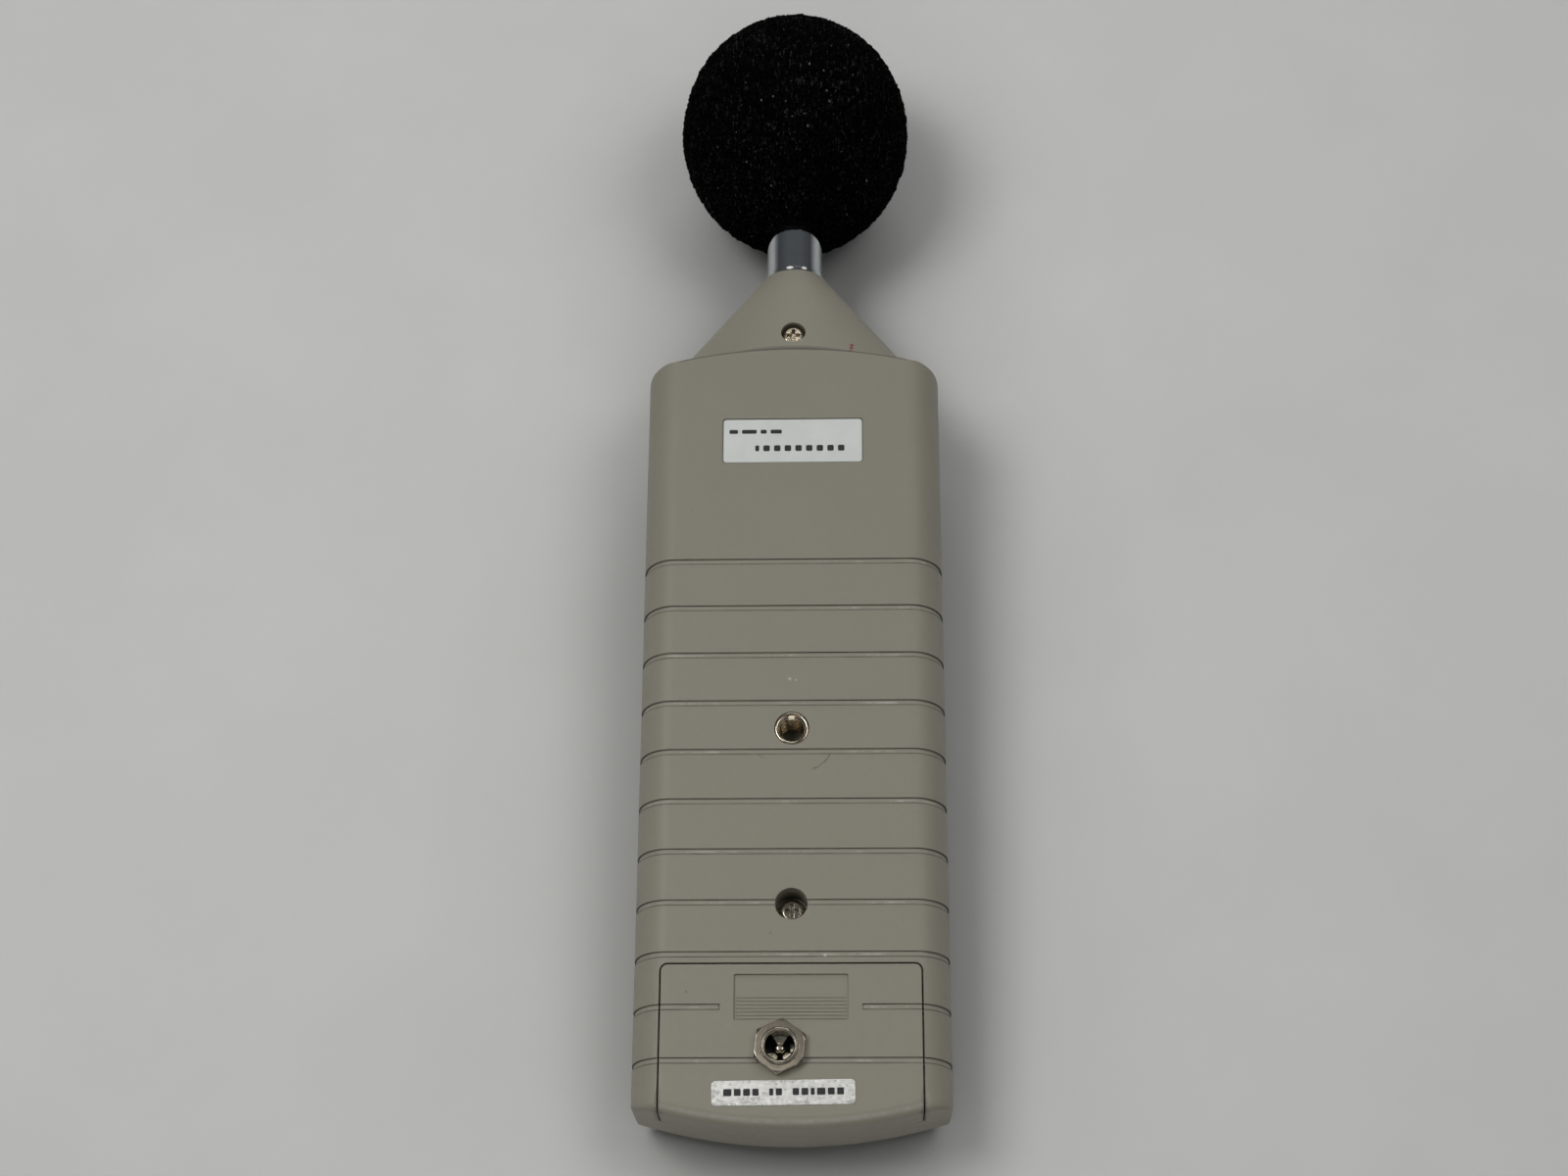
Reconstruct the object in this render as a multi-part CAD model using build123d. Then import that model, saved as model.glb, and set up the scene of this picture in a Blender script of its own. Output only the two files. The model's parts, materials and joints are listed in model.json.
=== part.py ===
from build123d import *
import os
from math import cos, sin, pi

# Hand-held sound level meter with a foam windscreen, in millimetres.
# Origin: centre of the tripod insert's mouth on the rear face.  +X is right when looking
# at the rear face, +Y runs towards the microphone and +Z points out of the rear face.
# The front face, with the display and switches, is at z = -THICK.

# --- case form --------------------------------------------------------------
BODY_HALF_W = 34.0          # half width at the widest
THICK = 29.0                # rear face to front face
Z_PART = -14.5              # parting plane of the two shells
WALL = 2.0
REAR_FLAT_X = 26.4          # rear face is flat to here
REAR_CORNER_Z = 10.5        # height of the elliptical rear corner
FRONT_FLAT_X = 26.3
FRONT_CORNER_Z = 9.0
SIDE_DRAFT = 0.2            # the front half is this much narrower a side
END_R, END_Y = 115.0, -87.3     # lower end wall: plan radius, y on the centre line
TOP_R, TOP_Y = 117.0, 94.5      # upper end wall of the box
END_ROUND = 2.5             # rear face to lower end wall
TOP_ROUND = 0.9             # rear face to upper end wall
PLAN_CORNER = 2.0

NOSE_BASE_Y, NOSE_TIP_Y = 90.0, 119.5
NOSE_W, NOSE_W_Y = 25.4, 97.6   # half width, and the station it holds at
NOSE_W_SLOPE = -0.8146
NOSE_H_TIP = 7.2            # half height at the tip
NOSE_H_SLOPE = 0.232

GROOVE_TOP_Y = 40.03        # first grip groove
GROOVE_PITCH = 11.33
GROOVE_N = 11
GROOVE_W = 1.1
GROOVE_D = 0.35

# --- features shared by the two shells --------------------------------------
SCREW_LOW_Y, LOW_HEAD_Z = -39.7, -5.5       # case screws: y, top of the head
SCREW_TOP_Y, TOP_HEAD_Z = 100.0, -4.3
SCREW_SHANK_R = 1.5
SCREW_HEAD_R = 2.7
SCREW_HEAD_H = 2.1
SCREW_LEN = 12.0
BULKHEAD_Y = (-50.0, -48.4)                 # wall above the battery bay
SADDLES_Y = ((104.2, 105.9), (107.6, 109.3))    # either side of the tube flange
NOTCH = (8.0, 15.0, -51.0, -47.0)           # lead notch in the bulkhead
RIB_HALF_X = 33.0                           # cross ribs run into the side walls
FOOT_Z = -27.6                              # bosses and ribs start inside the front wall

INSERT_R = 3.8
INSERT_BORE_R = 2.6         # 1/4-20 UNC at its minor diameter
INSERT_LEN = 9.0

COVER_HALF_W = 27.7         # centre of the side seam
COVER_TOP_Y = -52.7         # centre of the top seam
COVER_LEN = 54.0            # runs out past the lower end
SEAM = 0.36
COVER_LIP_Z = -10.4         # lower edge of the cover's end lip
OPEN_LIP_Z = -10.5
RAIL_Y = (-81.0, -53.6)
RAIL_Z = (-5.8, -4.35)

# recessed areas: x0, x1, y0, y1
THUMB = (-12.05, 12.05, -64.9, -55.0)
THUMB_D = 0.5
LABEL = (-16.15, 16.15, 64.6, 75.9)
LABEL_D = 0.3
POCKET = (-24.5, 24.5, -6.0, 84.0)          # control panel on the front
POCKET_Z = -27.2                            # floor of that recess
FRONT_IN_Z = -26.0                          # inner face of the wall behind it
OVERLAY_Z = -27.6
WINDOW = (-23.0, 23.0, 46.0, 75.0)

# --- supply socket, microphone, board, controls -----------------------------
JACK_X, JACK_Y = -2.3, -70.7
JACK_BUSH_R = 3.975
JACK_BORE_R = 3.05
JACK_PIN_R = 1.0
JACK_NUT_AF = 10.3
JACK_NUT_H = 2.0
JACK_NUT_TURN = -6.0        # degrees
JACK_NUT_Z = 0.02

MIC_Z = -14.5               # height of the microphone axis
MIC_R = 6.6
MIC_REAR_Y = 103.5
MIC_TUBE_END_Y = 165.0
MIC_TIP_Y = 180.7
FOAM_Y = 161.7
FOAM_RX, FOAM_RY = 27.8, 30.4
FOAM_BORE_R = 6.68

BOARD_Z0, BOARD_Z1 = -19.7, -18.1
BOARD_HALF_W = 28.0
BOARD_Y0, BOARD_Y1 = -46.0, 86.0
BOARD_HOLES = ((25, 81.6), (-25, 81.6), (25, -42), (-25, -42))
UNDER_Z = BOARD_Z0 - 0.02   # parts on the board's front side end here
PART_Z = BOARD_Z1 + 0.02    # parts on its rear side stand here

# slide switches: x, y, travel
RANGE_SW = (-6.0, 32.0, 7.5)
WEIGHT_SW = (-15.0, 14.0, 2.5)
RESP_SW = (0.0, 14.0, 2.5)
SWITCHES = (RANGE_SW, WEIGHT_SW, RESP_SW)
HOLD = (15.0, 14.0)
TRIM = (15.0, 32.0)
TRIM_HOLE_R = 1.75
OUT_JACK = (-7.5, -22.95)   # y, z of the output socket's axis


# --- helpers ----------------------------------------------------------------
def save(name, shape):
    export_step(shape, "parts/" + name + ".step")


def box(x0, x1, y0, y1, z0, z1):
    """Box between corners; each pair may be in either order."""
    return Pos((x0 + x1) / 2, (y0 + y1) / 2, (z0 + z1) / 2) * Box(
        abs(x1 - x0), abs(y1 - y0), abs(z1 - z0))


def mid_box(half_x, y0, y1, z0, z1):
    """Box centred on x = 0."""
    return box(-half_x, half_x, y0, y1, z0, z1)


def block(x, y, half_x, half_y, z0, z1):
    """Box centred on (x, y)."""
    return box(x - half_x, x + half_x, y - half_y, y + half_y, z0, z1)


def cyl_z(x, y, z0, z1, r):
    return Pos(x, y, (z0 + z1) / 2) * Cylinder(r, abs(z1 - z0))


def cyl_x(y, z, x0, x1, r):
    return Pos((x0 + x1) / 2, y, z) * Rot(0, 90, 0) * Cylinder(r, abs(x1 - x0))


def mic_cyl(y0, y1, r, lift=0):
    """Cylinder along the microphone axis, or lifted off it."""
    return Pos(0, (y0 + y1) / 2, MIC_Z + lift) * Rot(90, 0, 0) * Cylinder(r, abs(y1 - y0))


def jack_cyl(z0, z1, r):
    """Cylinder on the supply socket's axis."""
    return cyl_z(JACK_X, JACK_Y, z0, z1, r)


def slab(x0, x1, y0, y1, z0, z1, r):
    """A plate with rounded plan corners."""
    outline = Pos((x0 + x1) / 2, (y0 + y1) / 2) * RectangleRounded(x1 - x0, y1 - y0, r)
    return Pos(0, 0, z0) * extrude(outline, z1 - z0)


def panel(area, inset, z0, z1, r):
    """A slab over a named area, its edges moved in by inset."""
    x0, x1, y0, y1 = area
    return slab(x0 + inset, x1 - inset, y0 + inset, y1 - inset, z0, z1, r)


def switch_slot(switch, z0, z1):
    x, y, travel = switch
    half_x, half_y = travel / 2 + 1.35, 1.55
    return slab(x - half_x, x + half_x, y - half_y, y + half_y, z0, z1, 0.3)


def tube_path(points, r):
    """A round wire or cable along a smooth path."""
    line = Spline(*[Vector(*p) for p in points])
    profile = Plane(origin=line @ 0, z_dir=line % 0) * Circle(r)
    return sweep(profile, path=line)


def fuse(items):
    result = items[0]
    for item in items[1:]:
        result = result + item
    return result


def group(items):
    """Separate solids kept together as one piece."""
    solids = []
    for item in items:
        solids.extend(item.solids())
    return Compound(solids)


def cross_screw(x, y, z_top, head_r, head_h, shank_r, length, cross):
    """Screw with its rounded head up (+Z) and a cross recess."""
    screw = cyl_z(x, y, z_top, z_top - head_h, head_r)
    screw = fillet(screw.edges().group_by(Axis.Z)[-1], head_h * 0.42)
    screw = screw + cyl_z(x, y, z_top - head_h + 0.1, z_top - head_h - length, shank_r)
    z0, z1 = z_top + 0.2, z_top - head_h * 0.55
    recess = block(x, y, cross / 2, cross * 0.13, z0, z1)
    recess = recess + block(x, y, cross * 0.13, cross / 2, z0, z1)
    return screw - recess


def xz(y):
    """Plane whose local x is +X and local y is +Z."""
    return Plane(origin=(0, y, 0), x_dir=(1, 0, 0), z_dir=(0, -1, 0))


# --- the case's outer form and its offsets ----------------------------------
def section(inset):
    """Cross-section of the box, every wall moved in by inset."""
    rear_x, rear_z = REAR_FLAT_X, -REAR_CORNER_Z
    rear_rx, rear_rz = BODY_HALF_W - REAR_FLAT_X - inset, REAR_CORNER_Z - inset
    front_x, front_z = FRONT_FLAT_X, -THICK + FRONT_CORNER_Z
    front_rx = BODY_HALF_W - SIDE_DRAFT - FRONT_FLAT_X - inset
    front_rz = FRONT_CORNER_Z - inset

    def corner(x, z, rx, rz, start):
        return EllipticalCenterArc((x, z), rx, rz, start_angle=start, arc_size=90)

    return Face(Wire([
        Line((-rear_x, rear_z + rear_rz), (rear_x, rear_z + rear_rz)),
        corner(rear_x, rear_z, rear_rx, rear_rz, 0),
        Line((rear_x + rear_rx, rear_z), (front_x + front_rx, front_z)),
        corner(front_x, front_z, front_rx, front_rz, 270),
        Line((front_x, front_z - front_rz), (-front_x, front_z - front_rz)),
        corner(-front_x, front_z, front_rx, front_rz, 180),
        Line((-front_x - front_rx, front_z), (-rear_x - rear_rx, rear_z)),
        corner(-rear_x, rear_z, rear_rx, rear_rz, 90),
    ]))


def section_bar(inset, y0, y1):
    return extrude(xz(y0) * section(inset), amount=y1 - y0, dir=(0, 1, 0))


def plan(inset):
    """Plan outline of the box, moved in by inset."""
    outline = Pos(0, 5) * Rectangle(2 * (BODY_HALF_W + 0.02 - inset), 220)
    outline = outline & (Pos(0, END_Y + END_R) * Circle(END_R - inset))
    outline = outline & (Pos(0, TOP_Y - TOP_R) * Circle(TOP_R - inset))
    return fillet(outline.vertices(), max(PLAN_CORNER - inset * 0.5, 0.6))


def end_disc(r, y_centre, rear_round, front_x, front_z):
    """Big disc whose rim gives an end wall its rounded edges."""
    profile = Face(Wire([
        Line((0, 0), (r - rear_round, 0)),
        EllipticalCenterArc((r - rear_round, -rear_round), rear_round, rear_round,
                            start_angle=0, arc_size=90),
        Line((r, -rear_round), (r, -THICK + front_z)),
        EllipticalCenterArc((r - front_x, -THICK + front_z), front_x, front_z,
                            start_angle=270, arc_size=90),
        Line((r - front_x, -THICK), (0, -THICK)),
        Line((0, -THICK), (0, 0)),
    ]))
    return revolve(xz(y_centre) * profile, axis=Axis((0, y_centre, 0), (0, 0, 1)))


def nose(inset, y0, y1):
    """Tapered elliptical nose around the microphone axis."""
    ends = []
    for y in (y0, y1):
        half_w = NOSE_W + NOSE_W_SLOPE * (y - NOSE_W_Y)
        half_h = NOSE_H_TIP + NOSE_H_SLOPE * (NOSE_TIP_Y - y)
        ellipse = xz(y) * Pos(0, MIC_Z) * Ellipse(half_w - inset, half_h - inset)
        ends.append(ellipse.faces()[0])
    return loft(ends, ruled=True)


def case_outer():
    body = section_bar(0, -92, 100)
    body = body & (Pos(0, 0, -THICK - 1) * extrude(plan(0), THICK + 2))
    body = body & end_disc(END_R, END_Y + END_R, END_ROUND, 6.0, 8.0)
    body = body & end_disc(TOP_R, TOP_Y - TOP_R, TOP_ROUND, 5.0, 7.0)
    return body + nose(0, NOSE_BASE_Y, NOSE_TIP_Y)


def case_inner():
    body = section_bar(WALL, -92, 100)
    body = body & (Pos(0, 0, -THICK) * extrude(plan(WALL), THICK))
    return body + nose(WALL, NOSE_BASE_Y - 1.5, 116.6)


outer = case_outer()
mic_bore = mic_cyl(100, 121, MIC_R + 0.05)
case = outer - case_inner() - mic_bore
rear_half = box(-40, 40, -100, 125, Z_PART, 5)
front_half = box(-40, 40, -100, 125, -35, Z_PART)

# Grip grooves: a thin skin of the box section, one slice a groove.  They stop short
# of the parting plane, and skin_side leaves the front face alone too.
skin = section_bar(-0.3, 0, GROOVE_W) - section_bar(GROOVE_D, -1, GROOVE_W + 1)
groove_ys = [GROOVE_TOP_Y - GROOVE_PITCH * k for k in range(GROOVE_N)]
skin_rear = skin & box(-40, 40, -5, 5, Z_PART + 0.9, 5)
skin_front = skin & box(-40, 40, -5, 5, -35, Z_PART - 0.9)
skin_side = skin_front & (box(-40, -28.5, -5, 5, -23.5, 0) + box(28.5, 40, -5, 5, -23.5, 0))


def at_groove(tool, y):
    return Pos(0, y - GROOVE_W / 2, 0) * tool


def bay_prism(gap, lip_z, corner_r):
    """Battery cover outline, grown by half of gap at the seams."""
    return Pos(0, COVER_TOP_Y + gap / 2 - COVER_LEN / 2, lip_z) * extrude(
        RectangleRounded(2 * COVER_HALF_W + gap, COVER_LEN, corner_r), 15)


# --- rear shell -------------------------------------------------------------
def rear_shell():
    inner_z, rib_z = -1.0, -5.0             # ribs root inside the rear wall
    boss_end = Z_PART + 0.05
    adds = [
        cyl_z(0, 0, inner_z, -11.0, 6.2),                       # tripod boss
        cyl_z(0, SCREW_LOW_Y, inner_z, boss_end, 5.0),
        cyl_z(0, SCREW_TOP_Y, -3.8, boss_end, 4.0),
        mid_box(RIB_HALF_X, *BULKHEAD_Y, inner_z, Z_PART + 0.1),
        mid_box(1.0, -34.9, -6.0, inner_z, rib_z),              # centre ribs
        mid_box(1.0, 6.0, 60.0, inner_z, rib_z),
    ]
    for y in (44.0, 18.0, -22.0):                               # cross ribs
        adds.append(mid_box(32.6, y, y + 1.4, inner_z, rib_z))
    for side in (1, -1):                                        # rail roots
        adds.append(box(side * 27.9, side * 33.0, *RAIL_Y, *RAIL_Z))
    for y0, y1 in SADDLES_Y:
        adds.append(mid_box(RIB_HALF_X, y0, y1, -3.0, boss_end))
    rear = case & rear_half
    rear = rear + (fuse(adds) & outer)

    rear = rear - bay_prism(SEAM, OPEN_LIP_Z, 1.7)
    for side in (-1, 1):                                        # cover rails
        rear = rear + box(side * 26.0, side * 28.6, *RAIL_Y, *RAIL_Z)
    rear = rear - cyl_z(0, 0, 1.0, -INSERT_LEN - 0.2, INSERT_R + 0.02)
    for y, head_z, well_r in ((SCREW_LOW_Y, LOW_HEAD_Z, 3.5), (SCREW_TOP_Y, TOP_HEAD_Z, 2.9)):
        rear = rear - cyl_z(0, y, 1.0, head_z - SCREW_HEAD_H, well_r)
        rear = rear - cyl_z(0, y, 1.0, -20, SCREW_SHANK_R + 0.2)
    rear = rear - mic_bore
    rear = rear - panel(LABEL, 0, -LABEL_D, 1.0, 0.6)
    rear = rear - box(*NOTCH, Z_PART - 1, -11.0)
    for side in (1, -1):                    # rebate for the front shell's locating lip
        rear = rear - box(side * 30.8, side * 32.05, -78, 84, Z_PART - 1, Z_PART + 1.45)
    for y in groove_ys:
        rear = rear - at_groove(skin_rear, y)
    return rear


# --- battery cover ----------------------------------------------------------
def battery_cover():
    half_w = COVER_HALF_W - SEAM / 2
    cover = case & bay_prism(-SEAM, COVER_LIP_Z, 1.4)
    for side in (1, -1):                                        # edge flanges
        cover = cover + box(side * (half_w - 1.3), side * half_w,
                            -84.0, COVER_TOP_Y - 1.6, -4.2, -1.4)
    for side in (-1, 1):                    # hooks that run under the shell's rails
        for y0, y1 in ((-79.6, -73.6), (-69.6, -63.6), (-59.6, -54.2)):
            cover = cover + box(side * 24.5, side * 25.75, y0, y1, -7.0, -1.4)
            cover = cover + box(side * 24.5, side * 27.2, y0, y1, -7.0, -6.0)
    # tongue that tucks under the rear shell at the top seam, and its root
    cover = cover + mid_box(18, COVER_TOP_Y - 2.5, COVER_TOP_Y + 1.6, -3.2, -2.15)
    cover = cover + mid_box(18, COVER_TOP_Y - 2.5, COVER_TOP_Y - 0.4, -3.2, -1.0)

    # thumb recess with cross ribs and an arrow
    cover = cover - panel(THUMB, 0, -THUMB_D, 1.0, 0.4)
    for i in range(7):
        y = THUMB[2] + 0.55 + i * 0.76
        cover = cover + box(THUMB[0] + 0.5, THUMB[1] - 0.5, y - 0.19, y + 0.19,
                            -THUMB_D - 0.2, -THUMB_D + 0.15)
    arrow = Polygon((-2.2, -56.4), (2.2, -56.4), (0, -58.9), align=None)
    cover = cover + Pos(0, 0, -THUMB_D - 0.2) * extrude(arrow, 0.5)
    cover = cover - jack_cyl(-6, 3, JACK_BUSH_R + 0.05)

    # the last two grooves; the upper one is broken by the thumb recess
    broken = at_groove(skin_rear, groove_ys[9]) - box(-15.0, 15.0, -100, 100, -20, 5)
    cover = cover - broken
    return cover - at_groove(skin_rear, groove_ys[10])


# --- front shell ------------------------------------------------------------
def front_shell():
    lip_y = (-77.5, 83.5)
    adds = [
        mid_box(26.0, POCKET[2] - 1.8, POCKET[3] + 1.6, FOOT_Z, FRONT_IN_Z),
        cyl_z(0, SCREW_LOW_Y, FOOT_Z, Z_PART - 0.05, 4.0),
        cyl_z(0, SCREW_TOP_Y, FOOT_Z, Z_PART - 0.05, 3.6),
        mid_box(RIB_HALF_X, *BULKHEAD_Y, FOOT_Z, Z_PART),
    ]
    for x, y in BOARD_HOLES:
        adds.append(cyl_z(x, y, FOOT_Z, UNDER_Z, 2.8))
    for side in (1, -1):                                        # lip roots
        adds.append(box(side * 30.9, side * 32.8, *lip_y, -17.0, Z_PART))
    for y0, y1 in SADDLES_Y:
        adds.append(mid_box(RIB_HALF_X, y0, y1, -28.0, Z_PART))
    for y in (-22.0, -33.0):                                    # cross ribs
        adds.append(mid_box(RIB_HALF_X, y, y + 1.4, FOOT_Z, -24.0))
    front = case & front_half
    front = front + (fuse(adds) & outer & front_half)

    for side in (1, -1):                                        # locating lip
        front = front + box(side * 30.9, side * 31.9, *lip_y, Z_PART - 0.5, Z_PART + 1.3)
    for y in (SCREW_LOW_Y, SCREW_TOP_Y):
        front = front - cyl_z(0, y, Z_PART + 1, -21.0, SCREW_SHANK_R + 0.02)
    for x, y in BOARD_HOLES:
        front = front - cyl_z(x, y, BOARD_Z0 + 1, -25.2, 1.13)
    front = front - mic_bore
    front = front - panel(POCKET, 0, -40, POCKET_Z, 3.0)
    front = front - panel(WINDOW, -0.06, -40, -26.4, 1.0)       # window seat
    front = front - panel(WINDOW, 1.5, -28, -25.5, 0.8)         # opening behind it
    for switch in SWITCHES:
        front = front - switch_slot(switch, -40, -24.0)
    front = front - cyl_z(*HOLD, -40, -24, 4.08)
    front = front - cyl_z(*TRIM, -40, -24, TRIM_HOLE_R)
    front = front - cyl_x(*OUT_JACK, 28, 40, 3.05)
    front = front - box(16.5, 31.6, OUT_JACK[0] - 4.8, OUT_JACK[0] + 4.8, -26.5, -19.0)
    front = front - box(*NOTCH, -18.0, Z_PART + 1)
    for k, y in enumerate(groove_ys):       # only the lowest five cross the front face
        front = front - at_groove(skin_front if k >= 6 else skin_side, y)
    return front


os.makedirs("parts", exist_ok=True)
save("rear_shell", rear_shell())
save("battery_cover", battery_cover())
save("front_shell", front_shell())


# --- tripod insert, fluted outside ------------------------------------------
def tripod_insert():
    count, centre_r = 24, INSERT_R + 0.12
    insert = cyl_z(0, 0, 0, -INSERT_LEN, INSERT_R)
    insert = insert - cyl_z(0, 0, 1, -INSERT_LEN - 1, INSERT_BORE_R)
    flutes = []
    for i in range(count):
        angle = 2 * pi * i / count
        flutes.append(cyl_z(cos(angle) * centre_r, sin(angle) * centre_r,
                            0.5, -INSERT_LEN - 0.5, 0.28))
    return insert - fuse(flutes)


save("tripod_insert", tripod_insert())

# --- case screws and labels -------------------------------------------------
save("case_screws", group([
    cross_screw(0, y, head_z, head_r=SCREW_HEAD_R, head_h=SCREW_HEAD_H,
                shank_r=SCREW_SHANK_R, length=SCREW_LEN, cross=3.2)
    for y, head_z in ((SCREW_LOW_Y, LOW_HEAD_Z), (SCREW_TOP_Y, TOP_HEAD_Z))]))
save("serial_label", panel(LABEL, 0.15, -LABEL_D, -LABEL_D + 0.15, 1.0))
foil = Rot(0, 0, 0.8) * slab(-14.95, 14.95, -2.6, 2.6, 0, 0.12, 0.9)    # slightly askew
save("foil_label", Pos(-1.55, -80.1, 0) * foil)


# --- supply socket on the cover ---------------------------------------------
def dc_jack_bushing():
    bushing = jack_cyl(2.6, -7.0, JACK_BUSH_R)
    bushing = bushing + jack_cyl(-2.05, -3.2, 5.2)              # flange under the cover
    bushing = bushing - jack_cyl(3, -8, JACK_BORE_R)
    rim = bushing.edges().filter_by(GeomType.CIRCLE).group_by(Axis.Z)[-1]
    return chamfer(rim, 0.3)


def dc_jack_insulator():
    body = jack_cyl(-3.25, -10.2, 4.9)
    body = body - jack_cyl(-3.0, -7.05, JACK_BUSH_R + 0.03)
    body = body - jack_cyl(-6, -12, JACK_PIN_R + 0.02)
    # terminal slots
    body = body - box(JACK_X - 1.1, JACK_X + 1.1, JACK_Y + 2.0, JACK_Y + 6.0, -9.7, -9.2)
    return body - box(JACK_X + 1.9, JACK_X + 4.1, JACK_Y + 0.5, JACK_Y + 6.0, -7.6, -7.05)


def dc_jack_nut():
    """Hexagon nut, its rear corners turned off by a cone."""
    half_af, cone_h = JACK_NUT_AF / 2, 3.3
    hexagon = RegularPolygon(half_af, 6, major_radius=False)
    nut = Pos(JACK_X, JACK_Y, JACK_NUT_Z) * Rot(0, 0, 90 + JACK_NUT_TURN) * extrude(
        hexagon, JACK_NUT_H)
    nut = nut & (Pos(JACK_X, JACK_Y, JACK_NUT_Z + JACK_NUT_H - cone_h / 2)
                 * Cone(half_af + 5.65, half_af + 0.2, cone_h))
    return nut - jack_cyl(-1, 4, JACK_BUSH_R + 0.02)


save("dc_jack_bushing", dc_jack_bushing())
save("dc_jack_insulator", dc_jack_insulator())
jack_pin = jack_cyl(-0.4, -10.15, JACK_PIN_R)
save("dc_jack_pin", fillet(jack_pin.edges().group_by(Axis.Z)[-1], 0.6))
save("dc_jack_terminals", group([
    box(JACK_X + 2.0, JACK_X + 4.0, JACK_Y + 0.6, JACK_Y + 7.2, -7.55, -7.1),
    box(JACK_X - 1.0, JACK_X + 1.0, JACK_Y + 2.1, JACK_Y + 7.2, -9.65, -9.25),
]))
save("dc_jack_nut", dc_jack_nut())

# --- battery bay: snap, plug, leads, foam -----------------------------------
SNAP_YZ = (-80.0, -56.0, -19.5, -7.5)       # y0, y1, z0, z1 of snap and plug
LOW_STUD = (-74.35, -13.5)                  # y, z of the snap contacts
TOP_STUD = (-61.65, -13.5)
LEAD_R = 0.6
snap_socket = cyl_x(*LOW_STUD, -25.7, -24.3, 2.9) - cyl_x(*LOW_STUD, -26.5, -24.0, 2.1)
snap_stud = cyl_x(*TOP_STUD, -25.7, -23.9, 2.6)
save("battery_snap", slab(-30.2, -25.6, *SNAP_YZ, 1.0) + snap_socket + snap_stud)

plug = slab(-23.6, -19.4, *SNAP_YZ, 1.0)
plug = plug - cyl_x(*TOP_STUD, -24.5, -22.2, 2.8)
plug = plug - cyl_x(*LOW_STUD, -24.5, -23.0, 3.05)
save("jack_lead_plug", plug + cyl_x(*LOW_STUD, -24.9, -22.9, 1.8))

# lead paths: x, y, z of each point
JACK_LEADS = (
    [(-18.7, -64.0, -11.0), (-15.5, -61.0, -13.0), (-9.0, -58.0, -12.5),
     (0.0, -58.4, -9.5), (0.75, -63.1, -7.9)],
    [(-18.7, -68.0, -13.0), (-15.5, -64.0, -16.5), (-9.0, -60.2, -16.0),
     (-3.6, -59.5, -12.6), (-2.3, -63.1, -10.3)],
)
BATTERY_LEADS = (
    [(-28.6, -55.2, -10.5), (-24.0, -52.6, -13.0), (-14.0, -53.0, -15.8),
     (2.0, -53.2, -15.2), (9.2, -51.6, -13.6), (10.6, -48.6, -13.2), (10.7, -44.5, -16.2)],
    [(-28.6, -55.2, -13.5), (-24.0, -53.6, -15.6), (-14.0, -54.8, -18.0),
     (2.0, -55.0, -17.6), (11.0, -52.6, -14.8), (12.9, -48.8, -13.2), (13.3, -44.5, -16.2)],
)
save("jack_leads", group([tube_path(points, LEAD_R) for points in JACK_LEADS]))
save("battery_leads", group([tube_path(points, LEAD_R) for points in BATTERY_LEADS]))
save("bay_foam", slab(-22, 22, -83.0, -54.0, -26.95, -23.0, 2.0))

# --- microphone -------------------------------------------------------------
MIC_WALL = 0.9
CAPSULE_FIT_R = MIC_R - 1.53                # parts that sit inside the capsule


def mic_tube():
    tube = mic_cyl(MIC_REAR_Y, MIC_TUBE_END_Y, MIC_R)
    tube = tube + mic_cyl(106.05, 107.45, 7.6)                  # flange between the saddles
    tube = tube + mic_cyl(NOSE_TIP_Y + 0.05, NOSE_TIP_Y + 1.2, MIC_R + 0.35)
    return tube - mic_cyl(100, 170, MIC_R - MIC_WALL)


def mic_capsule_body():
    body = mic_cyl(MIC_TUBE_END_Y + 0.03, 176.0, MIC_R)
    body = body + mic_cyl(MIC_TUBE_END_Y - 4.0, MIC_TUBE_END_Y + 1, MIC_R - 0.93)  # spigot
    body = body - mic_cyl(150, 180, MIC_R - 1.5)
    return body - (mic_cyl(168.0, 168.5, 8) - mic_cyl(167, 170, MIC_R - 0.25))  # ring groove


def mic_grid():
    """Protection grid with six radial end slots and twelve side windows."""
    grid = mic_cyl(176.03, MIC_TIP_Y, MIC_R)
    grid = fillet(grid.edges().group_by(Axis.Y)[-1], 0.9)
    grid = grid - mic_cyl(175, MIC_TIP_Y - 0.9, MIC_R - MIC_WALL)
    for i in range(6):
        grid = grid - (Pos(0, MIC_TIP_Y - 0.5, MIC_Z) * Rot(0, 60 * i, 0)
                       * Pos(3.55, 0, 0) * Box(2.9, 4, 1.05))
    grid = grid - mic_cyl(MIC_TIP_Y - 3, MIC_TIP_Y + 1, 0.75)
    for i in range(12):
        grid = grid - (Pos(0, 178.0, MIC_Z) * Rot(0, 30 * i + 15, 0)
                       * Pos(MIC_R - 0.4, 0, 0) * Box(3.0, 1.9, 1.3))
    return grid


def windscreen():
    """Foam ellipsoid with a bore for the microphone."""
    arc = EllipticalCenterArc((0, 0), FOAM_RX, FOAM_RY, start_angle=-90, arc_size=180)
    half = Face(Wire([arc, Line((0, FOAM_RY), (0, -FOAM_RY))]))
    half = Plane(origin=(0, FOAM_Y, MIC_Z), x_dir=(1, 0, 0), z_dir=(0, 0, 1)) * half
    foam = revolve(half, axis=Axis((0, FOAM_Y, MIC_Z), (0, 1, 0)))
    return foam - mic_cyl(120, MIC_TIP_Y + 0.8, FOAM_BORE_R)


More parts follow.
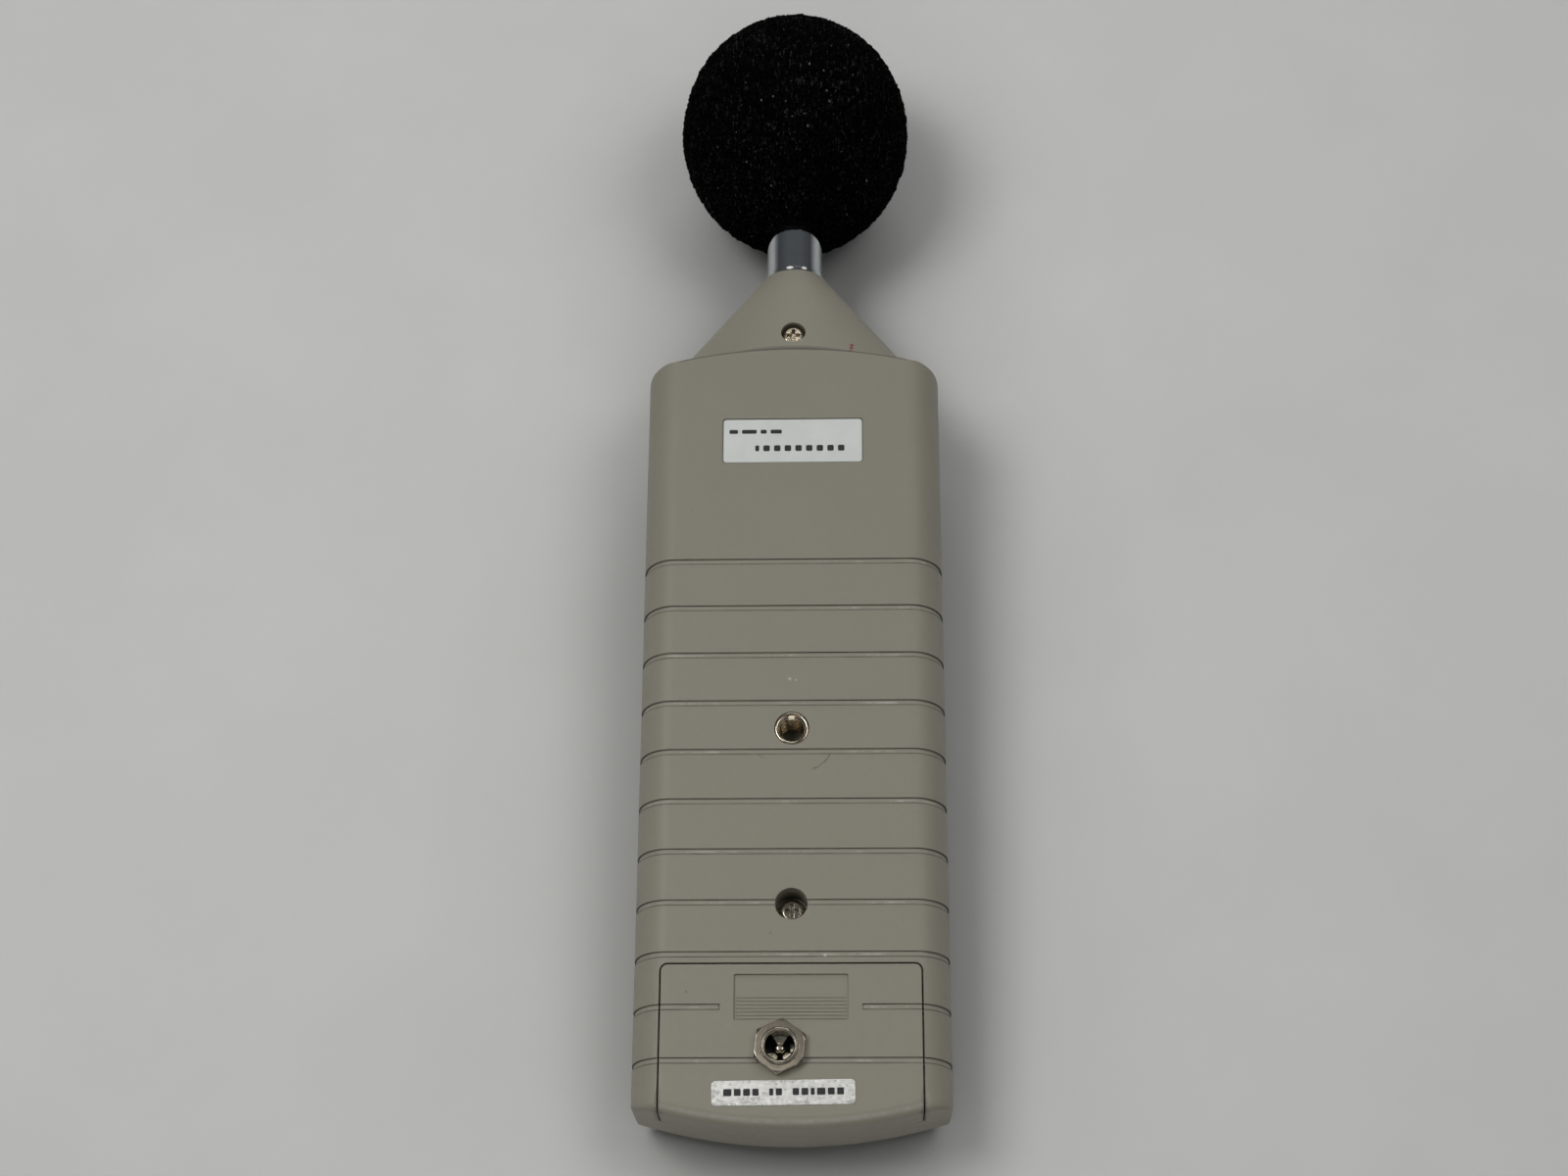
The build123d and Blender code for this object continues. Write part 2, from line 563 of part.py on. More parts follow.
save("mic_tube", mic_tube())
save("mic_capsule_body", mic_capsule_body())
save("mic_insulator", mic_cyl(166.5, 169.0, CAPSULE_FIT_R) - mic_cyl(160, 175, 1.02))
save("mic_backplate", mic_cyl(173.6, 175.2, 4.6) + mic_cyl(160.5, 173.8, 1.0))
save("mic_diaphragm", mic_cyl(175.6, 175.95, CAPSULE_FIT_R))
save("mic_grid", mic_grid())
save("windscreen", windscreen())

save("preamp_board", mid_box(4.4, 112.0, 158.0, MIC_Z - 0.5, MIC_Z + 0.5))
preamp_z = MIC_Z + 0.52
save("preamp_parts", group([
    mid_box(2.5, 118, 123, preamp_z, MIC_Z + 2.4),
    mid_box(2.0, 128, 132, preamp_z, MIC_Z + 2.1),
    mid_box(2.6, 150, 154, preamp_z, MIC_Z + 2.6),
    mic_cyl(136, 145, 1.5, lift=2.1),
]))
MIC_CABLE = [(3.2, 111.5, -13.4), (3.4, 107.0, -13.2), (4.3, 103.5, -13.4),
             (6.0, 100.0, -13.7), (7.2, 95.5, -14.2), (7.5, 90.5, -15.0), (7.5, 86.3, -15.2)]
save("mic_cable", tube_path(MIC_CABLE, 0.9))

# --- display stack ----------------------------------------------------------
save("display_window", panel(WINDOW, 0, OVERLAY_Z, -26.42, 0.95))
save("lcd_panel", mid_box(25.0, 43.1, 77.3, -25.3, -22.9))
bezel = mid_box(26.3, 42.0, 78.4, -25.9, UNDER_Z)
bezel = bezel - mid_box(25.05, 43.05, 77.35, -25.32, -15)
save("lcd_bezel", bezel - mid_box(22.5, 45.9, 74.9, -30, -15))
save("zebra_strips", group([mid_box(23, y, y + 2.0, -22.88, UNDER_Z) for y in (43.3, 75.2)]))


# --- front overlay ----------------------------------------------------------
def front_overlay():
    overlay = panel(POCKET, 0.1, OVERLAY_Z, POCKET_Z - 0.01, 2.9)
    overlay = overlay - panel(WINDOW, -0.1, -30, -20, 1.0)
    for switch in SWITCHES:
        overlay = overlay - switch_slot(switch, -30, -20)
    overlay = overlay - cyl_z(*HOLD, -30, -20, 4.15)
    return overlay - cyl_z(*TRIM, -30, -20, TRIM_HOLE_R)


save("front_overlay", front_overlay())


# --- slide switches ---------------------------------------------------------
def switch_body(switch, half_len, half_w):
    x, y, travel = switch
    body = block(x, y, half_len, half_w, -24.6, UNDER_Z)
    channel = block(x, y, travel / 2 + 2.35, 1.6, -24.0, -21.0)
    slot = block(x, y, travel / 2 + 1.3, 1.3, -26, -22)
    return body - channel - slot


def switch_knob(x, y):
    knob = block(x, y, 1.1, 1.15, -27.9, -23.2)                 # stem
    knob = knob + block(x, y, 2.2, 1.45, -23.9, -22.6)          # slider in the channel
    knob = knob + slab(x - 2.6, x + 2.6, y - 2.3, y + 2.3, -28.9, -27.7, 0.5)
    for dx in (-1.5, -0.5, 0.5, 1.5):                           # finger grooves
        knob = knob - block(x + dx, y, 0.18, 3, -29.5, -28.55)
    return knob


def switch_contact(x, y):
    """Bridge with a leg at each end."""
    return (block(x, y, 1.9, 1.2, -22.58, -22.3)
            + box(x - 1.9, x - 1.2, y - 1.2, y + 1.2, -22.4, -21.05)
            + box(x + 1.2, x + 1.9, y - 1.2, y + 1.2, -22.4, -21.05))


for name, switch, half_len, half_w in (("range", RANGE_SW, 8.6, 3.4),
                                       ("weighting", WEIGHT_SW, 5.8, 3.2),
                                       ("response", RESP_SW, 5.8, 3.2)):
    x, y, travel = switch
    rest_x = x - travel / 2                 # knob rests in its first position
    save(name + "_switch_body", switch_body(switch, half_len, half_w))
    save(name + "_switch_knob", switch_knob(rest_x, y))
    save(name + "_switch_contact", switch_contact(rest_x, y))

# --- hold button ------------------------------------------------------------
hold_body = block(*HOLD, 3, 3, -23.2, UNDER_Z)
save("hold_switch_body", hold_body - cyl_z(*HOLD, -25, -20.6, 1.7))
save("hold_switch_plunger", cyl_z(*HOLD, -24.3, -21.4, 1.62))
button = cyl_z(*HOLD, -28.9, -24.9, 4.0)
button = fillet(button.edges().group_by(Axis.Z)[0], 0.5)
button = button + cyl_z(*HOLD, -25.95, -24.9, 4.9)              # flange behind the wall
save("hold_button", button + cyl_z(*HOLD, -25.0, -24.32, 1.5))

# --- calibration trimmer ----------------------------------------------------
trimmer = block(*TRIM, 3.3, 3.5, -23.6, UNDER_Z)
save("cal_trimmer_body", trimmer - cyl_z(*TRIM, -25, -21.5, 2.25))
rotor = cyl_z(*TRIM, -24.6, -21.55, 2.2)
save("cal_trimmer_rotor", rotor - block(*TRIM, 2.5, 0.3, -25, -23.9))

# --- output socket ----------------------------------------------------------
out_y = OUT_JACK[0]
socket = box(17.5, 30.9, out_y - 4.3, out_y + 4.3, -26.15, UNDER_Z)
socket = socket + cyl_x(*OUT_JACK, 30.5, 33.35, 2.98)
socket = socket - cyl_x(*OUT_JACK, 19.0, 40, 1.8)
save("output_socket", socket - box(20.0, 29.0, out_y + 2.3, out_y + 3.6, -24.5, -21.4))
save("output_contacts", group([box(20.4, 28.6, out_y + 2.75, out_y + 3.05, -24.1, -21.8)]))

# --- main board -------------------------------------------------------------
board = slab(-BOARD_HALF_W, BOARD_HALF_W, BOARD_Y0, BOARD_Y1, BOARD_Z0, BOARD_Z1, 1.5)
board = board - cyl_z(0, SCREW_LOW_Y, -25, -10, 4.5)
for x, y in BOARD_HOLES:
    board = board - cyl_z(x, y, -25, -10, 1.3)
save("main_board", board)
save("board_screws", group([
    cross_screw(x, y, BOARD_Z1 + 1.62, head_r=2.1, head_h=1.6, shank_r=1.1, length=6.4,
                cross=2.4)
    for x, y in BOARD_HOLES]))


# --- parts on the board's rear side -----------------------------------------
def dip(x, y, legs_a_side, size_x, size_y, height, along_x):
    """Dual in-line package on two rows of legs, the rows along X or along Y."""
    pitch, body_z = 2.54, PART_Z + 0.5
    package = block(x, y, size_x / 2, size_y / 2, body_z, body_z + height)
    row_offset = (size_y if along_x else size_x) / 2 + 0.2
    for i in range(legs_a_side):
        along = (i - (legs_a_side - 1) / 2) * pitch
        for side in (-1, 1):
            across = side * row_offset
            dx, dy = (along, across) if along_x else (across, along)
            package = package + block(x + dx, y + dy, 0.3, 0.3, PART_Z, body_z + height / 2)
    return package


def resistor(x, y):
    """Body on a straight lead, with a leg down to the board at each end."""
    axis_z, half_span, lead_r = PART_Z + 1.2, 4.6, 0.3
    part = cyl_x(y, axis_z, x - 3.2, x + 3.2, 1.15)
    part = part + cyl_x(y, axis_z, x - half_span, x + half_span, lead_r)
    for side in (-1, 1):
        part = part + cyl_z(x + side * half_span, y, PART_Z, PART_Z + 1.35, lead_r)
    return part


# x, y of each part
ELECTROLYTICS = ((-20, 12), (-11, 12), (20, -22), (12, -22))
FILM_CAPS = ((10, 42), (21, 42), (-20, 44), (-10, 44))
RESISTORS = ((-20, -2), (-20, -8), (-20, -14), (-20, -20), (-20, -26),
             (-8, -12), (-8, -18), (-8, -24), (8, -12), (20, 6))

save("converter_chip", dip(0, 58, 20, 51.6, 13.6, 3.6, along_x=True))
save("opamp_chips", group([dip(x, 30, 4, 6.4, 9.6, 3.2, along_x=False)
                           for x in (-18, -6, 18)]))
save("electrolytic_capacitors", group([
    cyl_z(x, y, PART_Z, PART_Z + 8.0, 3.15) for x, y in ELECTROLYTICS]))
save("film_capacitors", group([
    block(x, y, 3.6, 2.0, PART_Z, PART_Z + 6.5) for x, y in FILM_CAPS]))
save("resistors", group([resistor(x, y) for x, y in RESISTORS]))
save("crystal", slab(8.0, 12.6, 24.5, 35.5, PART_Z, PART_Z + 3.6, 1.6))
save("preamp_shield", box(-21, -4, 70, 85, PART_Z, -12.0)
     - box(-20.6, -4.4, 70.4, 84.6, PART_Z - 1, -12.4))
save("mic_header", box(4.6, 10.4, 79.5, 86.0, PART_Z, -12.6)
     - box(6.1, 8.9, 84.0, 90.0, -16.6, -13.8))
save("supply_header", box(9.4, 14.6, -45.6, -41.8, PART_Z, -14.2)
     - box(9.8, 14.25, -50.0, -43.5, -17.5, -13.0))
save("adjust_pots", group([
    slab(x - 3.2, x + 3.2, 72 - 3.2, 72 + 3.2, PART_Z, PART_Z + 4.0, 0.5)
    for x in (16, 24)]))
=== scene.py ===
"""A hand-held meter lying face down, with a chrome tube and a foam windscreen ball at its nose.

The CAD frame is in millimetres: x runs across the meter, y along it towards the ball, and z up.
The rear face of the case is at z = 0 and the control panel and display are underneath, at low z.
"""
import bpy, bmesh, json, math
import numpy as np
from functools import reduce
from mathutils import Vector, Matrix, kdtree

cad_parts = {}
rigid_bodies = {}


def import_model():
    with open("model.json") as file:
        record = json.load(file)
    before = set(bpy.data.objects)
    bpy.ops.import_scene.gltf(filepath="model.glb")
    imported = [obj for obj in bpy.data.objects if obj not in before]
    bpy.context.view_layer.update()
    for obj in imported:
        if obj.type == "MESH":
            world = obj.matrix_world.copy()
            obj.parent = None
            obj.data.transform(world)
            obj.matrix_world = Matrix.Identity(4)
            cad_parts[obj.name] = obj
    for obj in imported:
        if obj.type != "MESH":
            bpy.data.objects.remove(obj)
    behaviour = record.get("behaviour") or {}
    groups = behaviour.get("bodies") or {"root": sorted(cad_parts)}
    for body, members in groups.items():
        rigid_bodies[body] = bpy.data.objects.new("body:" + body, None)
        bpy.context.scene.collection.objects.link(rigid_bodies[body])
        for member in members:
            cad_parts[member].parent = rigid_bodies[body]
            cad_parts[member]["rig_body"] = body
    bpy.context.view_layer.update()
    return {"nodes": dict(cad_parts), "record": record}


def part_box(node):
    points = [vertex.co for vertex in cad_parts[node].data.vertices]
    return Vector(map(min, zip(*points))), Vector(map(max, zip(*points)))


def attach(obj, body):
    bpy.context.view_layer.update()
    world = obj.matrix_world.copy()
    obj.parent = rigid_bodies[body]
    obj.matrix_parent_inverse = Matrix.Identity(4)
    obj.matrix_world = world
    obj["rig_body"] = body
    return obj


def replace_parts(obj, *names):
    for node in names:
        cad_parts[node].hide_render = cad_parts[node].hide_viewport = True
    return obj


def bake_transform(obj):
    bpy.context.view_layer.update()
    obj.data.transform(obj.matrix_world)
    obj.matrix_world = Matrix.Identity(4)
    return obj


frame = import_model()
nodes = frame["nodes"]
MM = 0.001                              # metres in a millimetre
rng = np.random.default_rng(7)

# Dimensions shared between sections, in millimetres and degrees
FOIL_X = -1.55                          # middle of the foil label
FOIL_TILT = math.radians(0.8)
GROOVE_TOP_Y = 40.58                    # first groove across the case
GROOVE_PITCH = 11.33
GROOVE_SPAN = 115.2                     # length of case that carries grooves
CASE_SEAM_Z = -14.5                     # where the two halves of the case meet
NOSE_CENTER = (0.0, -22.5, 0.0)         # the curved end of the box is an arc round this point


# ---------------------------------------------------------------------------
# Shader building
# ---------------------------------------------------------------------------
def put(tree, socket, value):
    """Link a field or socket to an input, or store a plain value in it."""
    if isinstance(value, Field):
        value = value.socket
    if isinstance(value, bpy.types.NodeSocket):
        tree.links.new(value, socket)
    else:
        socket.default_value = (*value, 1.0) if socket.type == "RGBA" else value


def add_node(tree, kind, inputs, **settings):
    node = tree.nodes.new("ShaderNode" + kind)
    for key, value in settings.items():
        setattr(node, key, value)
    for key, value in inputs.items():
        if value is not None:
            put(tree, node.inputs[key], value)
    return node


def operator(kind, swapped=False):
    def apply(self, other=0.0):
        first, second = (other, self) if swapped else (self, other)
        return self.mat.add("Math", {0: first, 1: second, 2: 0.0}, operation=kind)
    return apply


class Field:
    """A value inside a shader. Arithmetic on it adds math nodes."""

    def __init__(self, mat, socket):
        self.mat = mat
        self.socket = socket

    __add__ = operator("ADD")
    __radd__ = operator("ADD", swapped=True)
    __sub__ = operator("SUBTRACT")
    __rsub__ = operator("SUBTRACT", swapped=True)
    __mul__ = operator("MULTIPLY")
    __truediv__ = operator("DIVIDE")
    __mod__ = operator("FLOORED_MODULO")
    __pow__ = operator("POWER")
    __abs__ = operator("ABSOLUTE")
    max = operator("MAXIMUM")

    def ramp(self, start, end, to, smooth=False):
        """Map start..end onto the pair `to`, clamped."""
        return self.mat.add("MapRange", {
            "Value": self, "From Min": start, "From Max": end, "To Min": to[0], "To Max": to[1],
        }, interpolation_type="SMOOTHSTEP" if smooth else "LINEAR", clamp=True)

    def rise(self, start, end, peak=1.0):
        """0 at start, growing to peak at end."""
        return self.ramp(start, end, to=(0.0, peak))

    def fall(self, start, end, peak=1.0):
        """peak at start, sinking to 0 at end."""
        return self.ramp(start, end, to=(peak, 0.0))

    def spread(self, low=0.0, high=1.0):
        """Map 0.3..0.7, where most of a noise lies, onto low..high."""
        return self.ramp(0.3, 0.7, to=(low, high))

    def band(self, low, high, soft):
        """1 between low and high, with soft edges inside them."""
        return self.rise(low, low + soft) * self.fall(high - soft, high)


class Mat:
    """A procedural material. Its coordinates are object coordinates in millimetres."""

    INPUTS = {"color": "Base Color", "rough": "Roughness", "metal": "Metallic", "ior": "IOR",
              "spec": "Specular IOR Level", "normal": "Normal", "trans": "Transmission Weight",
              "coat": "Coat Weight", "coat_rough": "Coat Roughness",
              "glow_color": "Emission Color", "glow": "Emission Strength"}

    def __init__(self, name):
        self.material = bpy.data.materials.new(name)
        self.material.use_nodes = True
        self.tree = self.material.node_tree
        self.tree.nodes.clear()
        self.surface = add_node(self.tree, "BsdfPrincipled", {})
        add_node(self.tree, "OutputMaterial", {0: self.surface.outputs[0]})
        metres = self.add("TexCoord", {}, out="Object")
        self.coord = self.add("VectorMath", {0: metres, "Scale": 1 / MM}, operation="SCALE")

    def add(self, kind, inputs, out=0, **settings):
        return Field(self, add_node(self.tree, kind, inputs, **settings).outputs[out])

    def finish(self, **values):
        for key, value in values.items():
            put(self.tree, self.surface.inputs[self.INPUTS[key]], value)
        return self.material

    # coordinates
    def place(self, stretch=None, shift=None):
        """The coordinates, scaled and then shifted where asked."""
        if stretch is None and shift is None:
            return self.coord
        return self.add("Mapping", {"Vector": self.coord, "Scale": stretch or (1, 1, 1),
                                    "Location": shift or (0, 0, 0)})

    def axes(self):
        node = add_node(self.tree, "SeparateXYZ", {0: self.coord})
        return [Field(self, output) for output in node.outputs]

    def flat(self, x, y):
        return self.add("CombineXYZ", {0: x, 1: y})

    def distance(self, point, coord):
        return self.add("VectorMath", {0: coord, 1: point}, out="Value", operation="DISTANCE")

    def spot(self, center, radius):
        """Mask of a small round spot, solid in its inner three tenths."""
        return self.distance(center, self.coord).fall(radius * 0.3, radius)

    # patterns
    def noise(self, scale, detail=2.0, rough=0.5, **placing):
        return self.add("TexNoise", {"Scale": scale, "Detail": detail, "Roughness": rough,
                                     "Vector": self.place(**placing)}, out="Fac")

    def voronoi(self, scale, feature="F1", **placing):
        return self.add("TexVoronoi", {"Scale": scale, "Vector": self.place(**placing)},
                        out="Distance", feature=feature)

    def wave(self, scale, axis):
        return self.add("TexWave", {"Scale": scale, "Vector": self.coord}, out="Fac",
                        bands_direction=axis)

    def mix(self, mask, under, over):
        return self.add("Mix", {0: mask, 6: under, 7: over}, out=2, data_type="RGBA")

    # surface
    def bump(self, height, depth, strength, normal=None):
        return self.add("Bump", {"Strength": strength, "Distance": depth * MM,
                                 "Height": height, "Normal": normal})

    def ao(self, reach, samples=6):
        """Openness: low in corners that are narrow against reach."""
        return self.add("AmbientOcclusion", {"Distance": reach * MM}, out="AO", samples=samples)

    def bevel(self, radius, samples=4):
        return self.add("Bevel", {"Radius": radius * MM}, samples=samples)

    def facing(self, direction, normal):
        return self.add("VectorMath", {0: direction, 1: normal}, out="Value",
                        operation="DOT_PRODUCT")

    def edge(self, radius, samples=4):
        """A mask that is 1 near sharp edges, and the rounded normal."""
        rounded = self.bevel(radius, samples)
        true_normal = self.add("NewGeometry", {}, out="True Normal")
        return self.facing(rounded, true_normal).rise(0.985, 0.80), rounded


def shade(color, factor, lift=0.0):
    """The colour times a factor (one, or one per channel), plus lift, kept within 1."""
    return tuple(float(c) for c in np.minimum(1, np.array(color) * factor + lift))


# ---------------------------------------------------------------------------
# Families of materials. corner_shade (painted shade in corners), wear, scratch and tarnish are
# strengths from 0 to 1; grain_depth, depth and edge are in millimetres.
# ---------------------------------------------------------------------------
def plastic(name, color, rough, grain, grain_depth, vary, corner_shade=0.5, edge=0.18, wear=0.15):
    """Moulded plastic: fine texture, mottling, painted shade in the corners and rubbed edges."""
    mat = Mat(name)
    mottle = mat.noise(scale=0.11, detail=3, rough=0.6)
    fine = mat.noise(scale=grain, detail=4, rough=0.65)
    speck = mat.noise(scale=grain * 2.7, shift=(13, 7, 3))
    paint = mat.mix(mottle.spread(), shade(color, 1 - vary), shade(color, 1 + vary))
    paint = mat.mix(speck.rise(0.35, 0.7, peak=0.35), paint, shade(color, 0.9))
    rounded = None
    if wear:
        edges, rounded = mat.edge(edge)
        worn = edges * mat.noise(scale=0.9, detail=4, rough=0.7).rise(0.45, 0.7, peak=wear)
        paint = mat.mix(worn, paint, shade(color, 1.6, lift=0.05))
    if corner_shade:
        # painted shade: darker in corners and seams, from ambient occlusion
        corners = mat.ao(reach=0.8).fall(0.25, 0.85, peak=corner_shade)
        paint = mat.mix(corners, paint, shade(color, 0.35))
    gloss = mat.noise(scale=0.35, detail=4, rough=0.6).spread(rough - 0.05, rough + 0.07)
    return mat.finish(color=paint, rough=gloss + fine.spread(-0.03, 0.03), spec=0.4,
                      normal=mat.bump(fine, grain_depth, strength=0.6, normal=rounded))


def metal(name, color, rough, scratch, vary=0.05, depth=0.004, edge=0.12, tarnish=0.2,
          stretch=(1, 1, 1), corner_shade=0.0):
    """Plated or brushed metal with hairlines, smudges, dull patches and, where asked, painted shade
    in corners.
    """
    mat = Mat(name)
    line = mat.noise(scale=3.5, detail=5, rough=0.7, stretch=stretch)
    smudge = mat.noise(scale=0.5, detail=4, rough=0.6, shift=(5, 2, 9))
    paint = mat.mix(smudge.rise(0.35, 0.7), shade(color, 1 - vary), color)
    if corner_shade:
        # painted shade: darker in corners and seams, from ambient occlusion
        corners = mat.ao(reach=0.6).fall(0.2, 0.8, peak=corner_shade)
        paint = mat.mix(corners, paint, shade(color, 0.3))
    dull = mat.noise(scale=1.3, detail=5, rough=0.75, shift=(31, 12, 4))
    paint = mat.mix(dull.rise(0.58, 0.75, peak=tarnish), paint, shade(color, 0.45))
    gloss = (smudge.ramp(0.3, 0.75, to=(rough * 0.7, rough * 1.35))
             + line.rise(0.5, 0.75, peak=0.14) * scratch)
    return mat.finish(color=paint, metal=1.0, rough=gloss,
                      normal=mat.bump(line, depth, strength=0.5 * scratch + 0.1,
                                      normal=mat.bevel(edge)))


def rubber(name, color, rough):
    mat = Mat(name)
    patch = mat.noise(scale=0.8, detail=4, rough=0.6)
    fine = mat.noise(scale=5.0, detail=3, rough=0.6)
    return mat.finish(color=mat.mix(patch.spread(), shade(color, 0.85), shade(color, 1.1)),
                      rough=patch.spread(rough - 0.08, rough + 0.08), spec=0.35,
                      normal=mat.bump(fine, depth=0.01, strength=0.5))


# ---------------------------------------------------------------------------
# The case: numbers in the masks are places in millimetres
# ---------------------------------------------------------------------------
CASE = (0.270, 0.2565, 0.205)

# Marks on the rear face
RED_NICKS = ((13.75, 97.0, 0.62), (13.65, 96.1, 0.6), (13.5, 95.1, 0.5))    # x, y, radius
# center x, y, radius, half width, x range, y range, strength, colour
SCUFFS = (
    (2.2, -3.0, 6.9, 0.26, (4.2, 9.0), (-10.4, -4.8), 0.8, (0.13, 0.06, 0.035)),
    (-4.0, -1.6, 5.6, 0.2, (-9.0, -5.6), (-7.6, -5.0), 0.6, (0.14, 0.09, 0.06)),
)
# center, radius, strength, colour
SPOTS = (
    ((-0.5, 11.6, 0), 0.55, 0.5, (0.62, 0.6, 0.55)),
    ((7.2, -50.9, -0.1), 0.5, 0.9, (0.8, 0.78, 0.72)),
    ((-22.1, -58.8, 0), 0.32, 0.7, (0.12, 0.11, 0.09)),
    ((-4.4, -46.1, 0), 0.45, 0.45, (0.16, 0.15, 0.12)),
    ((-22.9, 52.9, 0), 0.3, 0.5, (0.15, 0.14, 0.12)),
    ((19.0, 55.0, 0), 0.22, 0.4, (0.15, 0.14, 0.12)),
    ((0.9, 11.3, 0), 0.35, 0.5, (0.62, 0.6, 0.55)),
)


def case_base(mat, y, fine, middle):
    """Mottled beige, with painted light making it a little lighter towards the low-y end."""
    mottle = mat.noise(scale=0.035, detail=3, rough=0.6)
    paint = mat.mix(mottle.spread(), shade(CASE, 0.965), shade(CASE, 1.03))
    # painted light: the case is painted lighter towards the low-y end
    paint = mat.mix(y.rise(95.0, -85.0), paint, shade(CASE, (1.11, 1.095, 1.10)))
    paint = mat.mix(middle.rise(0.35, 0.7, peak=0.14), paint, shade(CASE, (0.9, 0.88, 0.84)))
    return mat.mix(fine.rise(0.55, 0.8, peak=0.2), paint, shade(CASE, 0.86))


def case_groove_masks(y, z, side):
    """Where grooves run, and the distance past the start of the nearest one."""
    lead_in = 0.6
    down = GROOVE_TOP_Y - y
    past = (down + lead_in) % GROOVE_PITCH - lead_in
    grooved = down.rise(-0.62, -0.6) * down.fall(GROOVE_SPAN, GROOVE_SPAN + 0.1)
    grooved = grooved * z.rise(-27.5, -25.5)
    gap = side.fall(14.95, 15.05) * y.band(-63.6, -60.3, soft=0.1)
    return grooved * (1.0 - gap), past


def case_groove_paint(mat, paint, y, side, grooved, past):
    """Painted shade as dark lines along the two walls of each groove, a paler bed, and painted
    highlights in worn patches across the bed.
    """
    uneven = mat.noise(scale=0.09, detail=4, rough=0.7, stretch=(1.0, 0.6, 1.0), shift=(17, 5, 0))
    # painted shade: dark lines along the upper and lower walls of each groove
    upper = abs(past - 0.05).fall(0.04, 0.15) * uneven.ramp(0.3, 0.6, to=(0.4, 0.8))
    lower = abs(past - 1.17).fall(0.11, 0.24) * uneven.ramp(0.35, 0.65, to=(0.9, 0.5))
    # the groove that is broken in the middle gets painted shade at its inner ends
    ends = abs(side - 15.2).fall(0.08, 0.2) * y.band(-62.60, -61.28, soft=0.1)
    lower = lower.max(ends * 0.7)
    bed = past.band(0.24, 0.98, soft=0.1)
    paint = mat.mix(bed * grooved * 0.22, paint, (0.46, 0.445, 0.38))
    paint = mat.mix(upper.max(lower) * grooved, paint, (0.062, 0.058, 0.048))
    # painted highlight: pale worn patches across the middle of each groove
    patches = mat.noise(scale=0.07, detail=5, rough=0.75, stretch=(1.0, 0.9, 1.0), shift=(2, 38, 1))
    rubbed_highlight = abs(past - 0.64).fall(0.14, 0.30) * patches.ramp(0.52, 0.64, to=(0.06, 0.9))
    return mat.mix(rubbed_highlight * grooved * 0.85, paint, (0.58, 0.565, 0.50))


def case_wear_and_rim_highlight(mat, paint, y, z, edges, middle):
    """Pale wear on the edges near the rear face, and a painted highlight along the sloping rim at
    the low-y end.
    """
    patches = mat.noise(scale=0.3, detail=5, rough=0.75).rise(0.48, 0.66, peak=0.35)
    worn = edges * patches * z.rise(-3.5, -0.2)
    paint = mat.mix(worn, paint, (0.44, 0.425, 0.37))
    normal = mat.add("NewGeometry", {}, out="Normal")
    # painted highlight where the sloping rim faces up and towards low y
    rim = mat.facing(normal, (0.0, -0.50, 0.866)).rise(0.955, 1.0) * y.rise(-78.0, -80.0)
    return mat.mix(rim * middle.ramp(0.3, 0.65, to=(0.25, 0.65)), paint, (0.48, 0.465, 0.41))


def case_painted_light_and_seam(mat, paint, y, z, side, grooved, past, flat):
    """Painted shade in seams and hollows and at the foot of the step where the nose meets the box,
    a dark line painted along the box's curved top edge, a painted highlight on the raised figure of
    the thumb panel, and a hairline where the halves meet.
    """
    panel = side.rise(11.9, 11.7) * y.band(-64.9, -55.2, soft=0.2)
    # painted shade: darker in seams and hollows, from ambient occlusion, kept off the thumb panel
    # and weaker in the grooves
    corner_shade = mat.ao(reach=0.5).fall(0.25, 0.62) * (0.8 - panel * 0.8)
    groove = (grooved * side.fall(27.5, 30.0)) * (past.rise(-0.3, -0.1) * past.fall(1.3, 1.6))
    paint = mat.mix(corner_shade * (1.0 - groove * 0.75), paint, (0.055, 0.05, 0.04))

    # painted shade at the foot of the step where the nose meets the box, and a dark line painted
    # along the box's curved top edge next to it
    reach = mat.distance(NOSE_CENTER, flat)
    foot = reach.fall(117.6, 118.7, peak=0.8) * reach.rise(116.95, 117.05)
    foot = foot * z.rise(-0.7, -1.0) * z.rise(-13.8, -12.0)
    rim = reach.rise(116.25, 116.6, peak=0.9) * z.rise(-1.9, -1.4) * side.rise(27.0, 25.5)
    paint = mat.mix(foot.max(rim) * y.rise(80.0, 81.0), paint, (0.085, 0.08, 0.066))

    # the top of the raised figure on the thumb panel is painted lighter, a painted highlight with
    # rubbed wear
    raised = z.rise(-0.32, -0.24) * (panel * y.rise(-59.6, -59.2))
    paint = mat.mix(raised * 0.35, paint, (0.42, 0.405, 0.35))

    hairline = abs(z + -CASE_SEAM_Z).fall(0.05, 0.13, peak=0.75) * side.rise(30.5, 31.0)
    return mat.mix(hairline * y.rise(-82.0, -80.5), paint, (0.05, 0.047, 0.038))


def scuff_mask(mat, x, y, z, center_x, center_y, radius, width, x_range, y_range, strength):
    """Part of a thin ring on the rear face, cut to a rectangle."""
    ring = abs(mat.distance((center_x, center_y, 0), mat.flat(x, y)) - radius)
    mask = ring.fall(width * 0.4, width)
    for axis, (low, high) in ((x, x_range), (y, y_range)):
        mask = mask * axis.rise(low, low + 0.8) * axis.fall(high - 0.8, high)
    mask = mask * z.rise(-0.4, -0.1)
    broken = mat.noise(scale=1.1, detail=3, rough=0.6).ramp(0.35, 0.6, to=(0.3, 1.0))
    return mask * (broken * strength)


